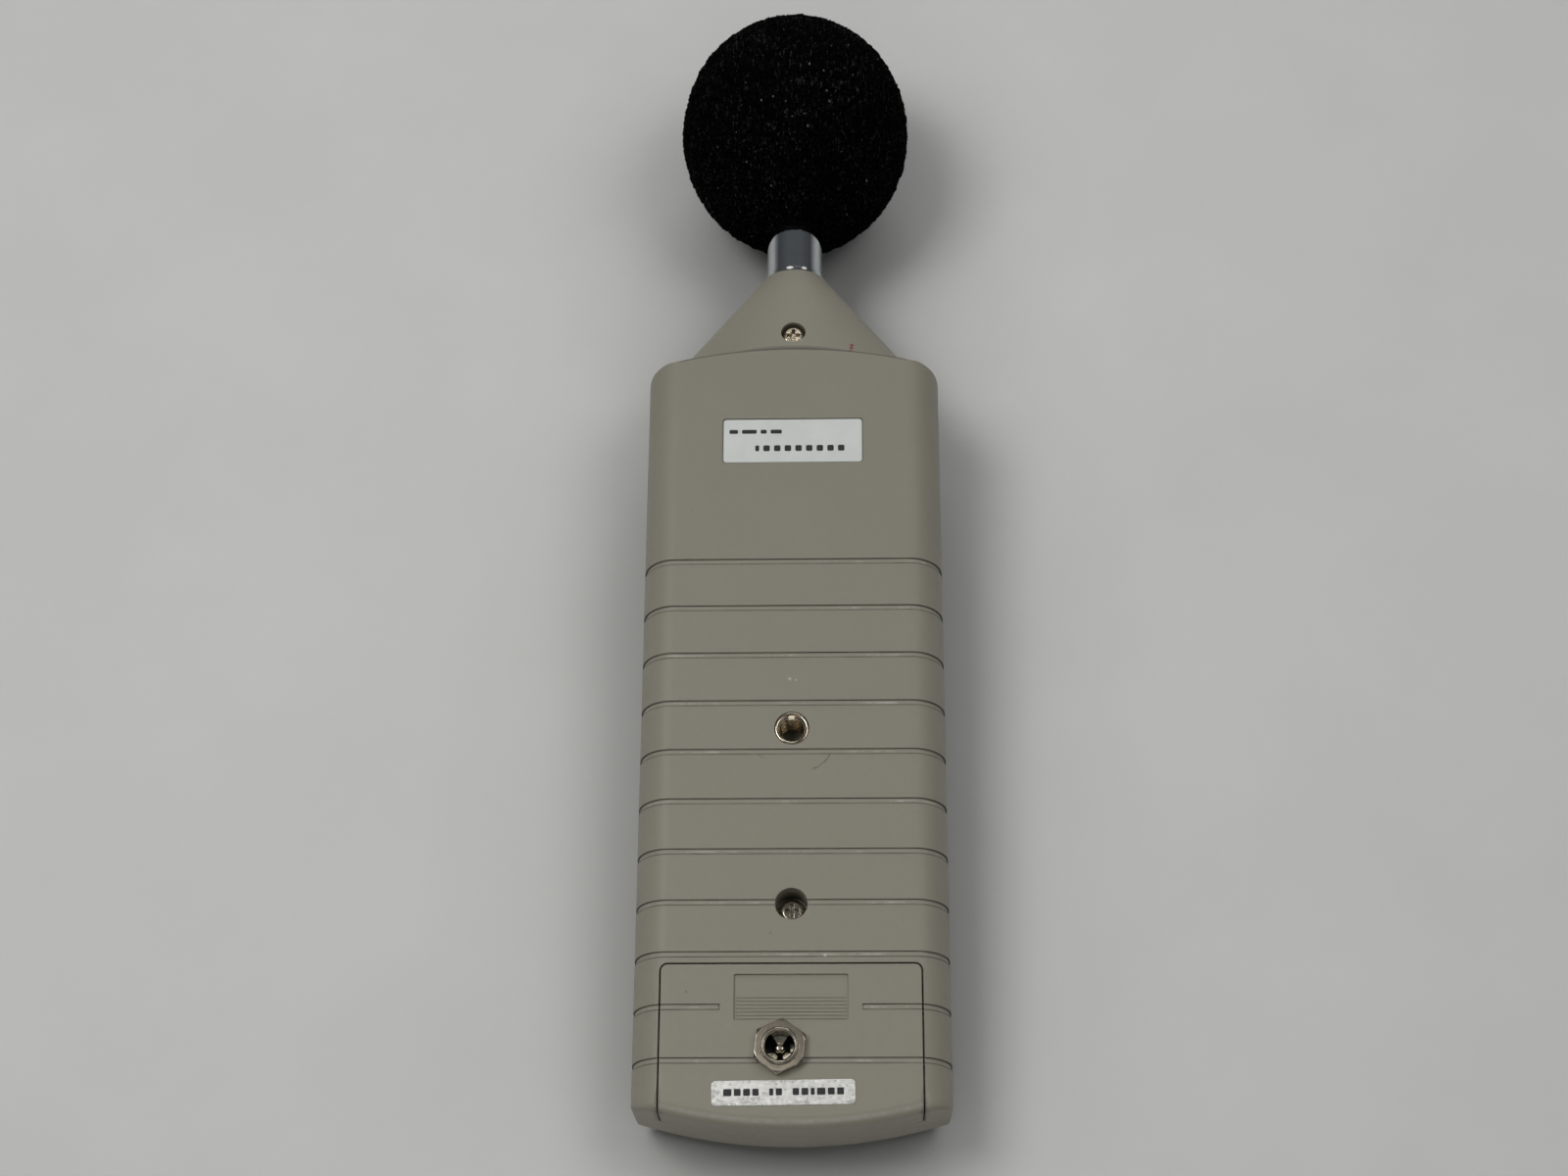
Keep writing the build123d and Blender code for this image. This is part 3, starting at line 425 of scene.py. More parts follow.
def case_marks(mat, paint, x, y, z, flat):
    """Reddish nicks, curved scuffs and small spots left by use."""
    red = reduce(Field.max, [
        mat.distance((nick_x, nick_y, 0.0), flat).fall(radius * 0.4, radius)
        for nick_x, nick_y, radius in RED_NICKS])
    red = red * mat.noise(scale=1.6, detail=3, rough=0.6).ramp(0.3, 0.5, to=(0.35, 0.95))
    paint = mat.mix(red * z.rise(-8.0, -7.0), paint, (0.19, 0.02, 0.025))
    for *shape, color in SCUFFS:
        paint = mat.mix(scuff_mask(mat, x, y, z, *shape), paint, color)
    for center, radius, strength, color in SPOTS:
        paint = mat.mix(mat.spot(center, radius) * strength, paint, color)
    return paint


def case_plastic():
    mat = Mat("case_plastic")
    x, y, z = mat.axes()
    side = abs(x)
    flat = mat.flat(x, y)
    fine = mat.noise(scale=2.4, detail=5, rough=0.7)
    middle = mat.noise(scale=0.55, detail=4, rough=0.6, shift=(4, 9, 2))
    # the two low-y corners of the upper half are shaded as if widely rounded
    corner = abs(x).rise(24.0, 28.0) * y.rise(-78.0, -81.5) * z.rise(-14.3, -13.8)
    edges, rounded = mat.edge(0.13 + corner * 1.9, samples=6)
    edges = edges * (1.0 - corner)

    grooved, past = case_groove_masks(y, z, side)
    paint = case_base(mat, y, fine, middle)
    paint = case_groove_paint(mat, paint, y, side, grooved, past)
    paint = case_wear_and_rim_highlight(mat, paint, y, z, edges, middle)
    paint = case_painted_light_and_seam(mat, paint, y, z, side, grooved, past, flat)
    paint = case_marks(mat, paint, x, y, z, flat)
    height = fine * 0.8 + mat.noise(scale=6.5) * 0.35
    return mat.finish(color=paint, rough=middle.spread(0.46, 0.56) + fine.spread(-0.03, 0.03),
                      spec=0.42,
                      normal=mat.bump(height, depth=0.022, strength=0.55, normal=rounded))


# ---------------------------------------------------------------------------
# Other single materials
# ---------------------------------------------------------------------------
def chrome_tube():
    mat = Mat("chrome_tube")
    streaks = mat.noise(scale=2.0, detail=5, rough=0.7, stretch=(1.0, 9.0, 1.0))
    smudge = mat.noise(scale=0.32, detail=4, rough=0.6)
    paint = mat.mix(smudge.spread(), (0.66, 0.69, 0.72), (0.74, 0.76, 0.78))
    x, y, z = mat.axes()
    side = abs(x)
    # painted shade: darker away from the middle of the tube, dimming the reflections along its
    # sides
    painted_side_shade = side.rise(1.6, 4.1, peak=0.42) * side.ramp(4.2, 4.6, to=(1.0, 0.62))
    paint = mat.mix(painted_side_shade, paint, (0.02, 0.02, 0.022))
    # two oval glints on the collar at the foot: middle x, half width
    ovals = []
    for middle_x, half_width in ((-1.0, 0.95), (2.45, 0.72)):
        across = abs((x - middle_x) / half_width) ** 2.0
        along = abs((y - 120.3) / 0.42) ** 2.0
        ovals.append((across + along).fall(0.5, 1.0))
    glint = reduce(Field.max, ovals) * z.rise(-11.0, -10.0)
    paint = mat.mix(glint, paint, (1.0, 0.99, 0.96))
    gloss = smudge.ramp(0.3, 0.75, to=(0.03, 0.07)) + streaks.rise(0.5, 0.8, peak=0.04)
    return mat.finish(color=paint, metal=1.0 - glint, rough=gloss + glint * 0.3,
                      normal=mat.bump(streaks, depth=0.0018, strength=0.25,
                                      normal=mat.bevel(0.15)))


def black_foam():
    """Nearly black foam: cells painted darker than the struts as painted shade, paler streaks
    painted along the struts as painted glints, and specks of lint.
    """
    mat = Mat("black_foam")
    strut = mat.add("Attribute", {}, out="Fac", attribute_name="strut")
    fine = mat.noise(scale=3.2, detail=3, rough=0.6)
    streak_noise = mat.noise(scale=1.9, detail=3, rough=0.65, stretch=(1.0, 0.20, 1.0), shift=(3, 1, 8))
    patch = mat.noise(scale=0.11, detail=3, rough=0.6, shift=(9, 4, 2))
    patch = patch.ramp(0.38, 0.62, to=(0.35, 1.0))
    # painted shade: the cells are painted darker than the struts between them
    paint = mat.mix(strut, (0.0001, 0.0001, 0.00012), (0.0010, 0.0010, 0.0012))
    # painted glints: paler streaks, stronger on the struts
    streaks = streak_noise.rise(0.56, 0.69) * (patch * (0.35 + strut * 0.65))
    paint = mat.mix(streaks, paint, (0.046, 0.046, 0.044))
    lint = mat.voronoi(scale=0.34, stretch=(1.0, 0.62, 1.0)).fall(0.03, 0.10)
    lint = lint * mat.noise(scale=0.21).rise(0.44, 0.56, peak=0.95)
    paint = mat.mix(lint, paint, (0.19, 0.19, 0.18))
    return mat.finish(color=paint, rough=fine.spread(0.75, 0.95), spec=0.022,
                      normal=mat.bump(mat.noise(scale=4.5), depth=0.12, strength=0.8))


def foil():
    """Silvery foil, smeared grey with dark flecks, more so at its ends and low-y edge."""
    mat = Mat("foil")
    crease = mat.voronoi(scale=0.45, feature="DISTANCE_TO_EDGE", stretch=(1, 1.4, 1))
    cloud = mat.noise(scale=1.1, detail=4, rough=0.6)
    x, y, z = mat.axes()
    paint = mat.mix(cloud.rise(0.35, 0.65), (0.80, 0.795, 0.76), (0.95, 0.945, 0.92))
    low_edge = y.ramp(-79.4, -82.4, to=(-0.05, 0.07))
    ends = abs(x + -FOIL_X).rise(11.5, 15.0, peak=0.08)
    smear = mat.noise(scale=0.42, detail=5, rough=0.8, stretch=(0.7, 1.6, 1), shift=(6, 1, 2))
    smear = smear + (low_edge + ends)
    paint = mat.mix(smear.rise(0.54, 0.66, peak=0.62), paint, (0.36, 0.35, 0.335))
    fleck = mat.noise(scale=1.7, detail=4, rough=0.8, shift=(3, 8, 1))
    fleck = fleck.rise(0.62, 0.70, peak=0.7) * smear.rise(0.48, 0.6)
    paint = mat.mix(fleck, paint, (0.10, 0.095, 0.085))
    height = crease.rise(0.0, 0.25) + cloud * 1.5
    return mat.finish(color=paint, metal=0.3, rough=cloud.spread(0.24, 0.4), spec=0.6,
                      normal=mat.bump(height, depth=0.05, strength=0.5))


def label_paper():
    """Pale label with a grey line round its rim."""
    mat = Mat("label_paper")
    cloud = mat.noise(scale=0.16, detail=3, rough=0.6)
    fine = mat.noise(scale=3.0, detail=3, rough=0.6)
    paint = mat.mix(cloud.spread(), (0.70, 0.73, 0.71), (0.76, 0.785, 0.765))
    paint = mat.mix(fine.rise(0.55, 0.8, peak=0.2), paint, (0.62, 0.64, 0.62))
    x, y, z = mat.axes()
    rim = abs(x).rise(15.75, 15.95).max(abs(y - 70.25).rise(5.3, 5.48))
    paint = mat.mix(rim * 0.6, paint, (0.22, 0.22, 0.2))
    return mat.finish(color=paint, rough=cloud.spread(0.30, 0.4), spec=0.45,
                      normal=mat.bump(fine, depth=0.006, strength=0.5))


def board_green():
    """Circuit board with paler tracks and bright pads."""
    mat = Mat("board_green")
    track = mat.add("TexBrick", {"Vector": mat.place(stretch=(0.55, 0.55, 0.55)),
                                 "Scale": 1.0, "Mortar Size": 0.06}, out="Fac")
    cloud = mat.noise(scale=0.3, detail=3, rough=0.6)
    paint = mat.mix(cloud.spread(), (0.018, 0.11, 0.04), (0.03, 0.15, 0.06))
    shown = track * mat.noise(scale=0.12).rise(0.45, 0.5, peak=0.8)
    paint = mat.mix(shown, paint, (0.07, 0.26, 0.10))
    pad = mat.voronoi(scale=0.28).fall(0.10, 0.13)
    paint = mat.mix(pad, paint, (0.55, 0.55, 0.52))
    return mat.finish(color=paint, rough=0.3, spec=0.5, coat=0.3,
                      normal=mat.bump(track, depth=0.02, strength=0.6))


def lcd_glass():
    mat = Mat("lcd_glass")
    cloud = mat.noise(scale=0.08)
    paint = mat.mix(cloud.spread(), (0.26, 0.29, 0.22), (0.30, 0.33, 0.26))
    paint = mat.mix(mat.wave(scale=3.0, axis="Y") * 0.05, paint, (0.2, 0.22, 0.17))
    gloss = mat.noise(scale=1.2, detail=3).spread(0.12, 0.2)
    return mat.finish(color=paint, rough=gloss, spec=0.6, coat=0.5, coat_rough=0.06,
                      normal=mat.bump(mat.noise(scale=5.0), depth=0.002, strength=0.3))


def clear_window():
    mat = Mat("clear_window")
    cloud = mat.noise(scale=0.5, detail=4, rough=0.7)
    streaks = mat.noise(scale=1.6, detail=4, rough=0.75, stretch=(0.4, 6.0, 1.0))
    gloss = cloud.spread(0.02, 0.06) + streaks.rise(0.62, 0.78, peak=0.2)
    return mat.finish(color=(0.93, 0.95, 0.95), rough=gloss, trans=1.0, ior=1.49,
                      normal=mat.bump(cloud, depth=0.002, strength=0.2))


def overlay():
    """Black panel film with a pale line just inside its edge."""
    mat = Mat("overlay")
    cloud = mat.noise(scale=0.1, detail=3, rough=0.6)
    fine = mat.noise(scale=4.0, detail=3, rough=0.6)
    paint = mat.mix(cloud.spread(), (0.018, 0.018, 0.020), (0.026, 0.026, 0.029))
    paint = mat.mix(fine.rise(0.6, 0.8, peak=0.3), paint, (0.05, 0.05, 0.052))
    x, y, z = mat.axes()
    outside = (abs(x) - 23.2).max(abs(y - 39.0) - 43.7)
    paint = mat.mix(abs(outside).fall(0.12, 0.2) * 0.8, paint, (0.42, 0.40, 0.33))
    return mat.finish(color=paint, rough=fine.spread(0.38, 0.5), spec=0.45,
                      normal=mat.bump(fine, depth=0.008, strength=0.6))


def grey_foam():
    mat = Mat("grey_foam")
    wall = mat.voronoi(scale=0.9, feature="DISTANCE_TO_EDGE")
    cloud = mat.noise(scale=0.4, detail=3, rough=0.6)
    paint = mat.mix(wall.fall(0.0, 0.22), (0.018, 0.018, 0.02), (0.085, 0.085, 0.09))
    paint = mat.mix(cloud.spread(high=0.4), paint, (0.05, 0.05, 0.055))
    return mat.finish(color=paint, rough=0.9, spec=0.2,
                      normal=mat.bump(wall.fall(0.0, 0.3), depth=0.25, strength=0.9))


def zebra_rubber():
    mat = Mat("zebra_rubber")
    stripe = mat.wave(scale=2.2, axis="X").rise(0.45, 0.55)
    return mat.finish(color=mat.mix(stripe, (0.02, 0.02, 0.02), (0.62, 0.30, 0.30)), rough=0.6,
                      normal=mat.bump(mat.noise(scale=3.0), depth=0.01, strength=0.5))


def resistor_tan():
    mat = Mat("resistor_tan")
    stripe = mat.noise(scale=0.9, detail=1, rough=0.4, stretch=(1.4, 0.02, 0.02))
    paint = mat.mix(stripe.rise(0.55, 0.57), (0.55, 0.42, 0.26), (0.22, 0.06, 0.03))
    return mat.finish(color=paint, rough=0.3, coat=0.4,
                      normal=mat.bump(mat.noise(scale=2.0), depth=0.02, strength=0.4))


SLOT = {
    "case_plastic": case_plastic(),
    "insert_brass": metal("insert_brass", (0.62, 0.545, 0.43), rough=0.14, scratch=0.5, vary=0.1,
                          edge=0.08, tarnish=0.12),
    "zinc_steel": metal("zinc_steel", (0.68, 0.60, 0.48), rough=0.14, scratch=0.5, vary=0.1,
                        depth=0.010, edge=0.14, tarnish=0.3, corner_shade=0.5),
    "label_paper": label_paper(),
    "foil": foil(),
    "nickel": metal("nickel", (0.53, 0.475, 0.39), rough=0.12, scratch=0.25, vary=0.10,
                    depth=0.0012, edge=0.2, tarnish=0.3, corner_shade=0.7),
    "tinned_brass": metal("tinned_brass", (0.70, 0.64, 0.52), rough=0.3, scratch=0.6, vary=0.1,
                          depth=0.005, edge=0.05, tarnish=0.3),
    "black_plastic": plastic("black_plastic", (0.021, 0.021, 0.022), rough=0.42, grain=3.0,
                             grain_depth=0.01, vary=0.15),
    "lead_red": rubber("lead_red", (0.36, 0.014, 0.010), rough=0.35),
    "lead_black": rubber("lead_black", (0.014, 0.014, 0.015), rough=0.35),
    "grey_foam": grey_foam(),
    "chrome_tube": chrome_tube(),
    "white_plastic": plastic("white_plastic", (0.66, 0.64, 0.58), rough=0.4, grain=3.0,
                             grain_depth=0.01, vary=0.05),
    "gold_brass": metal("gold_brass", (0.83, 0.62, 0.28), rough=0.18, scratch=0.4),
    "board_green": board_green(),
    "chip_black": plastic("chip_black", (0.016, 0.016, 0.017), rough=0.5, grain=4.0,
                          grain_depth=0.015, vary=0.12),
    "cable_black": rubber("cable_black", (0.014, 0.014, 0.014), rough=0.5),
    "black_foam": black_foam(),
    "clear_window": clear_window(),
    "lcd_glass": lcd_glass(),
    "zebra_rubber": zebra_rubber(),
    "overlay": overlay(),
    "switch_metal": metal("switch_metal", (0.58, 0.58, 0.57), rough=0.3, scratch=0.9, vary=0.06,
                          depth=0.006, edge=0.06, stretch=(1, 8, 1)),
    "knob_plastic": plastic("knob_plastic", (0.024, 0.024, 0.025), rough=0.40, grain=3.2,
                            grain_depth=0.014, vary=0.12, edge=0.16, wear=0.3),
    "button_plastic": plastic("button_plastic", (0.50, 0.22, 0.025), rough=0.38, grain=2.5,
                              grain_depth=0.012, vary=0.06, edge=0.2, wear=0.2),
    "blue_plastic": plastic("blue_plastic", (0.02, 0.09, 0.33), rough=0.4, grain=3.0,
                            grain_depth=0.01, vary=0.1),
    "capacitor_sleeve": plastic("capacitor_sleeve", (0.012, 0.02, 0.09), rough=0.3, grain=2.0,
                                grain_depth=0.006, vary=0.1),
    "film_red": plastic("film_red", (0.28, 0.03, 0.02), rough=0.25, grain=1.0,
                        grain_depth=0.03, vary=0.1),
    "resistor_tan": resistor_tan(),
}

slot_of = {part["node"]: part["material_slot"] for part in frame["record"]["subparts"]}
for name, part in nodes.items():
    material = SLOT[slot_of[name]]
    if not part.data.materials:
        part.data.materials.append(material)
    for material_slot in part.material_slots:
        material_slot.material = material


# ---------------------------------------------------------------------------
# Mesh helpers: millimetres in, metres out
# ---------------------------------------------------------------------------
def mesh_piece(name, verts, faces, materials, body, face_material=None, smooth=True,
               sharp=None):
    """A mesh object riding on a body, its normals outward; sharp is an angle in degrees."""
    mesh = bpy.data.meshes.new(name)
    mesh.from_pydata([tuple(float(c) * MM for c in vert) for vert in verts], [],
                     [tuple(int(i) for i in face) for face in faces])
    for material in materials:
        mesh.materials.append(material)
    if face_material is not None:
        mesh.polygons.foreach_set("material_index", np.asarray(face_material, np.int32))
    mesh.polygons.foreach_set("use_smooth", [smooth] * len(mesh.polygons))
    mesh.update()
    if sharp is not None:
        mesh.set_sharp_from_angle(angle=math.radians(sharp))
    piece = bpy.data.objects.new(name, mesh)
    bpy.context.scene.collection.objects.link(piece)
    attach(piece, body)
    work = bmesh.new()
    work.from_mesh(mesh)
    bmesh.ops.recalc_face_normals(work, faces=work.faces)
    work.to_mesh(mesh)
    work.free()
    return piece


def ring_grid(rows, closed_rows=False):
    """Quads between closed rings of equal length, given as an array (rings, points, 3)."""
    count, size = rows.shape[:2]
    faces = []
    for i in range(count if closed_rows else count - 1):
        this, other = i * size, ((i + 1) % count) * size
        for j in range(size):
            k = (j + 1) % size
            faces.append((this + j, this + k, other + k, other + j))
    return rows.reshape(-1, 3), faces


def sheet_faces(columns, rows, base=0):
    """Faces of a closed sheet: a grid of points, the same grid again, and the rim between."""
    width = columns + 1
    layer = (rows + 1) * width
    faces = []
    for j in range(rows):
        for i in range(columns):
            a = base + j * width + i
            b, c, d = a + 1, a + width + 1, a + width
            faces.append((a, b, c, d))
            faces.append((layer + a, layer + d, layer + c, layer + b))
    rim = (list(range(width))
           + [j * width + columns for j in range(1, rows + 1)]
           + [rows * width + i for i in range(columns - 1, -1, -1)]
           + [j * width for j in range(rows - 1, 0, -1)])
    for a, b in zip(rim, rim[1:] + rim[:1]):
        faces.append((base + b, base + a, layer + base + a, layer + base + b))
    return faces


def catmull(points, per_span=14):
    """A smooth path through the points."""
    path = np.array(points, float)
    path = np.vstack([2 * path[0] - path[1], path, 2 * path[-1] - path[-2]])
    out = []
    for i in range(1, len(path) - 2):
        a, b, c, d = path[i - 1:i + 3]
        for t in np.linspace(0, 1, per_span, endpoint=False):
            out.append(0.5 * (2 * b + (c - a) * t + (2 * a - 5 * b + 4 * c - d) * t * t
                              + (3 * b - a - 3 * c + d) * t ** 3))
    out.append(path[-2])
    return np.array(out)


def tube(points, radius, seg=14):
    """Round tube with closed ends along a smooth path."""
    path = catmull(points)
    tangent = np.gradient(path, axis=0)
    tangent /= np.linalg.norm(tangent, axis=1)[:, None]
    across = np.cross(tangent[0], (0.0, 0.0, 1.0))
    angle = np.linspace(0, 2 * math.pi, seg, endpoint=False)[:, None]
    rows = []
    for center, along in zip(path, tangent):
        across = across - along * (across @ along)
        across /= np.linalg.norm(across)
        other = np.cross(along, across)
        rows.append(center + radius * (np.cos(angle) * across + np.sin(angle) * other))
    verts, faces = ring_grid(np.array(rows))
    faces.append(tuple(range(seg))[::-1])
    faces.append(tuple(range(len(verts) - seg, len(verts))))
    return verts, faces


def bar(x0, x1, y0, y1, radius=0.0, seg=4):
    """Outline of a rectangle, with rounded corners if radius is given."""
    if radius <= 0:
        return [(x0, y0), (x1, y0), (x1, y1), (x0, y1)]
    out = []
    for x, y, start in ((x1 - radius, y0 + radius, -90), (x1 - radius, y1 - radius, 0),
                        (x0 + radius, y1 - radius, 90), (x0 + radius, y0 + radius, 180)):
        for i in range(seg + 1):
            angle = math.radians(start + 90 * i / seg)
            out.append((x + radius * math.cos(angle), y + radius * math.sin(angle)))
    return out


def bar_row(x, widths, gap, y0, y1, radius, space=0.0):
    """A row of rounded bars from x onwards; a width of 0 leaves a space."""
    out = []
    for width in widths:
        if width:
            out.append(bar(x, x + width, y0, y1, radius))
        x += (width + gap) if width else space
    return out


def disc(x, y, radius, seg=20):
    angles = [2 * math.pi * i / seg for i in range(seg)]
    return [(x + radius * math.cos(a), y + radius * math.sin(a)) for a in angles]


def turned(x, y, angle, center):
    return (center[0] + x * math.cos(angle) - y * math.sin(angle),
            center[1] + x * math.sin(angle) + y * math.cos(angle))


def plates(name, outlines, body, material, z0, z1):
    """Flat printed shapes: a prism from z0 to z1 on each outline."""
    verts, faces = [], []
    for outline in outlines:
        base, size = len(verts), len(outline)
        verts += [(x, y, z0) for x, y in outline] + [(x, y, z1) for x, y in outline]
        faces.append(tuple(range(base, base + size)))
        faces.append(tuple(range(base + 2 * size - 1, base + size - 1, -1)))
        for i in range(size):
            j = (i + 1) % size
            faces.append((base + i, base + j, base + size + j, base + size + i))
    mesh_piece(name, verts, faces, [material], body, smooth=False)


def smoothstep(t):
    return t * t * (3 - 2 * t)


# ---------------------------------------------------------------------------
# Foam windscreen: an open-cell ball with a bore for the tube
# ---------------------------------------------------------------------------
FOAM_HALF_LENGTH = 30.4
FOAM_BORE = 6.72                        # radius of the bore
FOAM_BORE_END_Y = 181.0
FOAM_MEAN_RADIUS = 29                   # only for the spacing of the cells
FOAM_BORE_ROWS = 60
FOAM_TAPER = 0.018                      # narrowing of the lower part, as a share of radius
CELL_DEPTH = 0.62
FOAM_WAVES = 12                         # waves that add up to the soft lumps


def foam_profile(radius, center_y, rows):
    """(radius, y from the middle) up the bore's wall backwards and then round the ball."""
    angle = np.linspace(math.asin(FOAM_BORE / radius), math.pi - 0.012, rows)   # 0 = low y
    ball_y = -np.cos(angle) * FOAM_HALF_LENGTH
    ball_r = np.sin(angle) * radius
    low = np.clip((-ball_y / FOAM_HALF_LENGTH - 0.15) / 0.85, 0, 1)
    off_bore = np.clip((ball_r - FOAM_BORE) / 6, 0, 1)
    ball_r = ball_r * (1 - FOAM_TAPER * smoothstep(low) * off_bore)
    bore_y = np.linspace(FOAM_BORE_END_Y - center_y, ball_y[0], FOAM_BORE_ROWS)
    return np.array([(FOAM_BORE, y) for y in bore_y[:-1]] + list(zip(ball_r, ball_y)))


def foam_cells(points, outer, center, radii, count):
    """Strut share (1 on a wall between cells) and outward shift for each point."""
    height = rng.uniform(-1, 1, count)
    turn = rng.uniform(0, 2 * math.pi, count)
    level = np.sqrt(1 - height * height)
    cells = np.array(center) + np.array(radii) * np.stack(
        [level * np.cos(turn), height, level * np.sin(turn)], 1)
    deep = rng.uniform(0.55, 1.0, count)
    proud = rng.uniform(-0.24, 0.24, count)
    tree = kdtree.KDTree(count)
    for i, cell in enumerate(cells):
        tree.insert(cell, i)
    tree.balance()
    strut = np.zeros(len(points))
    shift = np.zeros(len(points))
    spacing = math.sqrt(4 * math.pi * FOAM_MEAN_RADIUS ** 2 / count)
    for i in np.nonzero(outer)[0]:
        (_, cell, near), (_, _, far) = tree.find_n(points[i], 2)
        inside = smoothstep(min(1.0, max(0.0, ((far - near) / spacing - 0.04) / 0.42)))
        strut[i] = 1 - inside
        shift[i] = -CELL_DEPTH * inside * deep[cell] + proud[cell]
    return strut, shift


def windscreen():
    low, high = (np.array(corner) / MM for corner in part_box("windscreen"))
    center_x, center_z = (low[0] + high[0]) / 2, (low[2] + high[2]) / 2
    radius = (high[0] - low[0]) / 2
    center_y = high[1] - FOAM_HALF_LENGTH
    center = (center_x, center_y, center_z)
    radii = (radius, FOAM_HALF_LENGTH, radius)
    seg = 460
    profile = foam_profile(radius, center_y, rows=300)
    rings = len(profile)
    turn = np.linspace(0, 2 * math.pi, seg, endpoint=False)
    rows = np.zeros((rings, seg, 3))
    for i, (ring_r, y) in enumerate(profile):
        rows[i, :, 0] = center_x + ring_r * np.cos(turn)
        rows[i, :, 1] = center_y + y
        rows[i, :, 2] = center_z + ring_r * np.sin(turn)
    points = rows.reshape(-1, 3).copy()
    outer = np.repeat(np.arange(rings) >= FOAM_BORE_ROWS - 1, seg)
    outward = (points - np.array(center)) / np.array(radii) ** 2
    outward /= np.linalg.norm(outward, axis=1)[:, None] + 1e-12

    strut, shift = foam_cells(points, outer, center, radii, count=8200)
    # soft lumps and roughness along the struts
    phase = rng.uniform(0, 6.28, FOAM_WAVES)
    wave = rng.normal(0, 0.16, (FOAM_WAVES, 3))
    lump = sum(np.sin(points @ wave[i] + phase[i]) for i in range(FOAM_WAVES)) / FOAM_WAVES
    shift += 0.35 * lump * outer
    shift += outer * rng.uniform(-0.10, 0.24, len(points)) * strut
    # fade at the mouth of the bore, so that the foam stays clear of the tube
    from_bore = np.hypot(points[:, 0] - center_x, points[:, 2] - center_z) - FOAM_BORE
    shift = np.where(points[:, 1] < center_y, shift * np.clip(from_bore / 1.2, 0, 1), shift)
    points = points + outward * shift[:, None]

    verts, faces = ring_grid(points.reshape(rings, seg, 3))
    verts = list(verts)
    bore_tip, ball_tip = len(verts), len(verts) + 1
    verts.append((center_x, FOAM_BORE_END_Y, center_z))
    verts.append((center_x, center_y + FOAM_HALF_LENGTH - 0.25, center_z))
    last = (rings - 1) * seg
    for j in range(seg):
        k = (j + 1) % seg
        faces.append((bore_tip, k, j))
        faces.append((last + j, last + k, ball_tip))
    foam = mesh_piece("windscreen_foam", verts, faces, [SLOT["black_foam"]], "windscreen")
    attribute = foam.data.attributes.new("strut", "FLOAT", "POINT")
    attribute.data.foreach_set("value", np.concatenate([strut, [0, 1]]).astype(np.float32))
    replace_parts(foam, "windscreen")


windscreen()

# ---------------------------------------------------------------------------
# Tripod insert: knurled outside, helical thread inside
# ---------------------------------------------------------------------------
INSERT_RADIUS = 3.80
KNURLS = 28
KNURL_DEPTH = 0.10
THREAD_PITCH = 1.27
THREAD_CREST = 2.62                     # least radius of the thread
THREAD_DEPTH = 0.50
# radius, share of the knurl, z: the rounded rim
INSERT_RIM = ((INSERT_RADIUS, 1.0, -0.25), (3.66, 0.6, -0.06), (3.52, 0.2, 0.0),
              (3.30, 0.0, 0.0), (3.20, 0.0, -0.04))


def tripod_insert():
    low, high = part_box("tripod_insert")
    length = (high[2] - low[2]) / MM
    seg = 144
    angle = np.linspace(0, 2 * math.pi, seg, endpoint=False)
    rows = []

    def ring(radius, z):
        rows.append(np.stack([radius * np.cos(angle), radius * np.sin(angle),
                              np.full(seg, z)], 1))

    knurl = KNURL_DEPTH * np.abs(((angle * KNURLS / (2 * math.pi)) % 1.0) * 2 - 1)
    for z in np.linspace(-length, -0.45, 8):
        ring(INSERT_RADIUS - knurl, z)
    for radius, share, z in INSERT_RIM:
        ring(radius - knurl * share, z)
    for z in np.linspace(-0.10, -length, 110):
        phase = (z / THREAD_PITCH + angle / (2 * math.pi)) % 1.0
        ridge = np.abs(phase * 2 - 1)
        radius = THREAD_CREST + THREAD_DEPTH * np.clip(ridge * 1.25 - 0.08, 0, 1)
        # the thread runs out into a plain mouth
        ring(radius + np.clip(1 - (-z) / 0.7, 0, 1) * (3.15 - radius), z)
    verts, faces = ring_grid(np.array(rows), closed_rows=True)
    insert = mesh_piece("tripod_insert_threaded", verts, faces, [SLOT["insert_brass"]], "meter",
                        sharp=35)
    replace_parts(insert, "tripod_insert")


tripod_insert()

# ---------------------------------------------------------------------------
# Crinkled foil label on the battery cover
# ---------------------------------------------------------------------------
FOIL_CENTER = (FOIL_X, -80.1)
FOIL_HALF = (14.95, 2.6)                # half length and half width
FOIL_CORNER = 0.9
FOIL_GRID = (150, 30)
FOIL_WAVES = 14                         # waves that add up to the crinkles


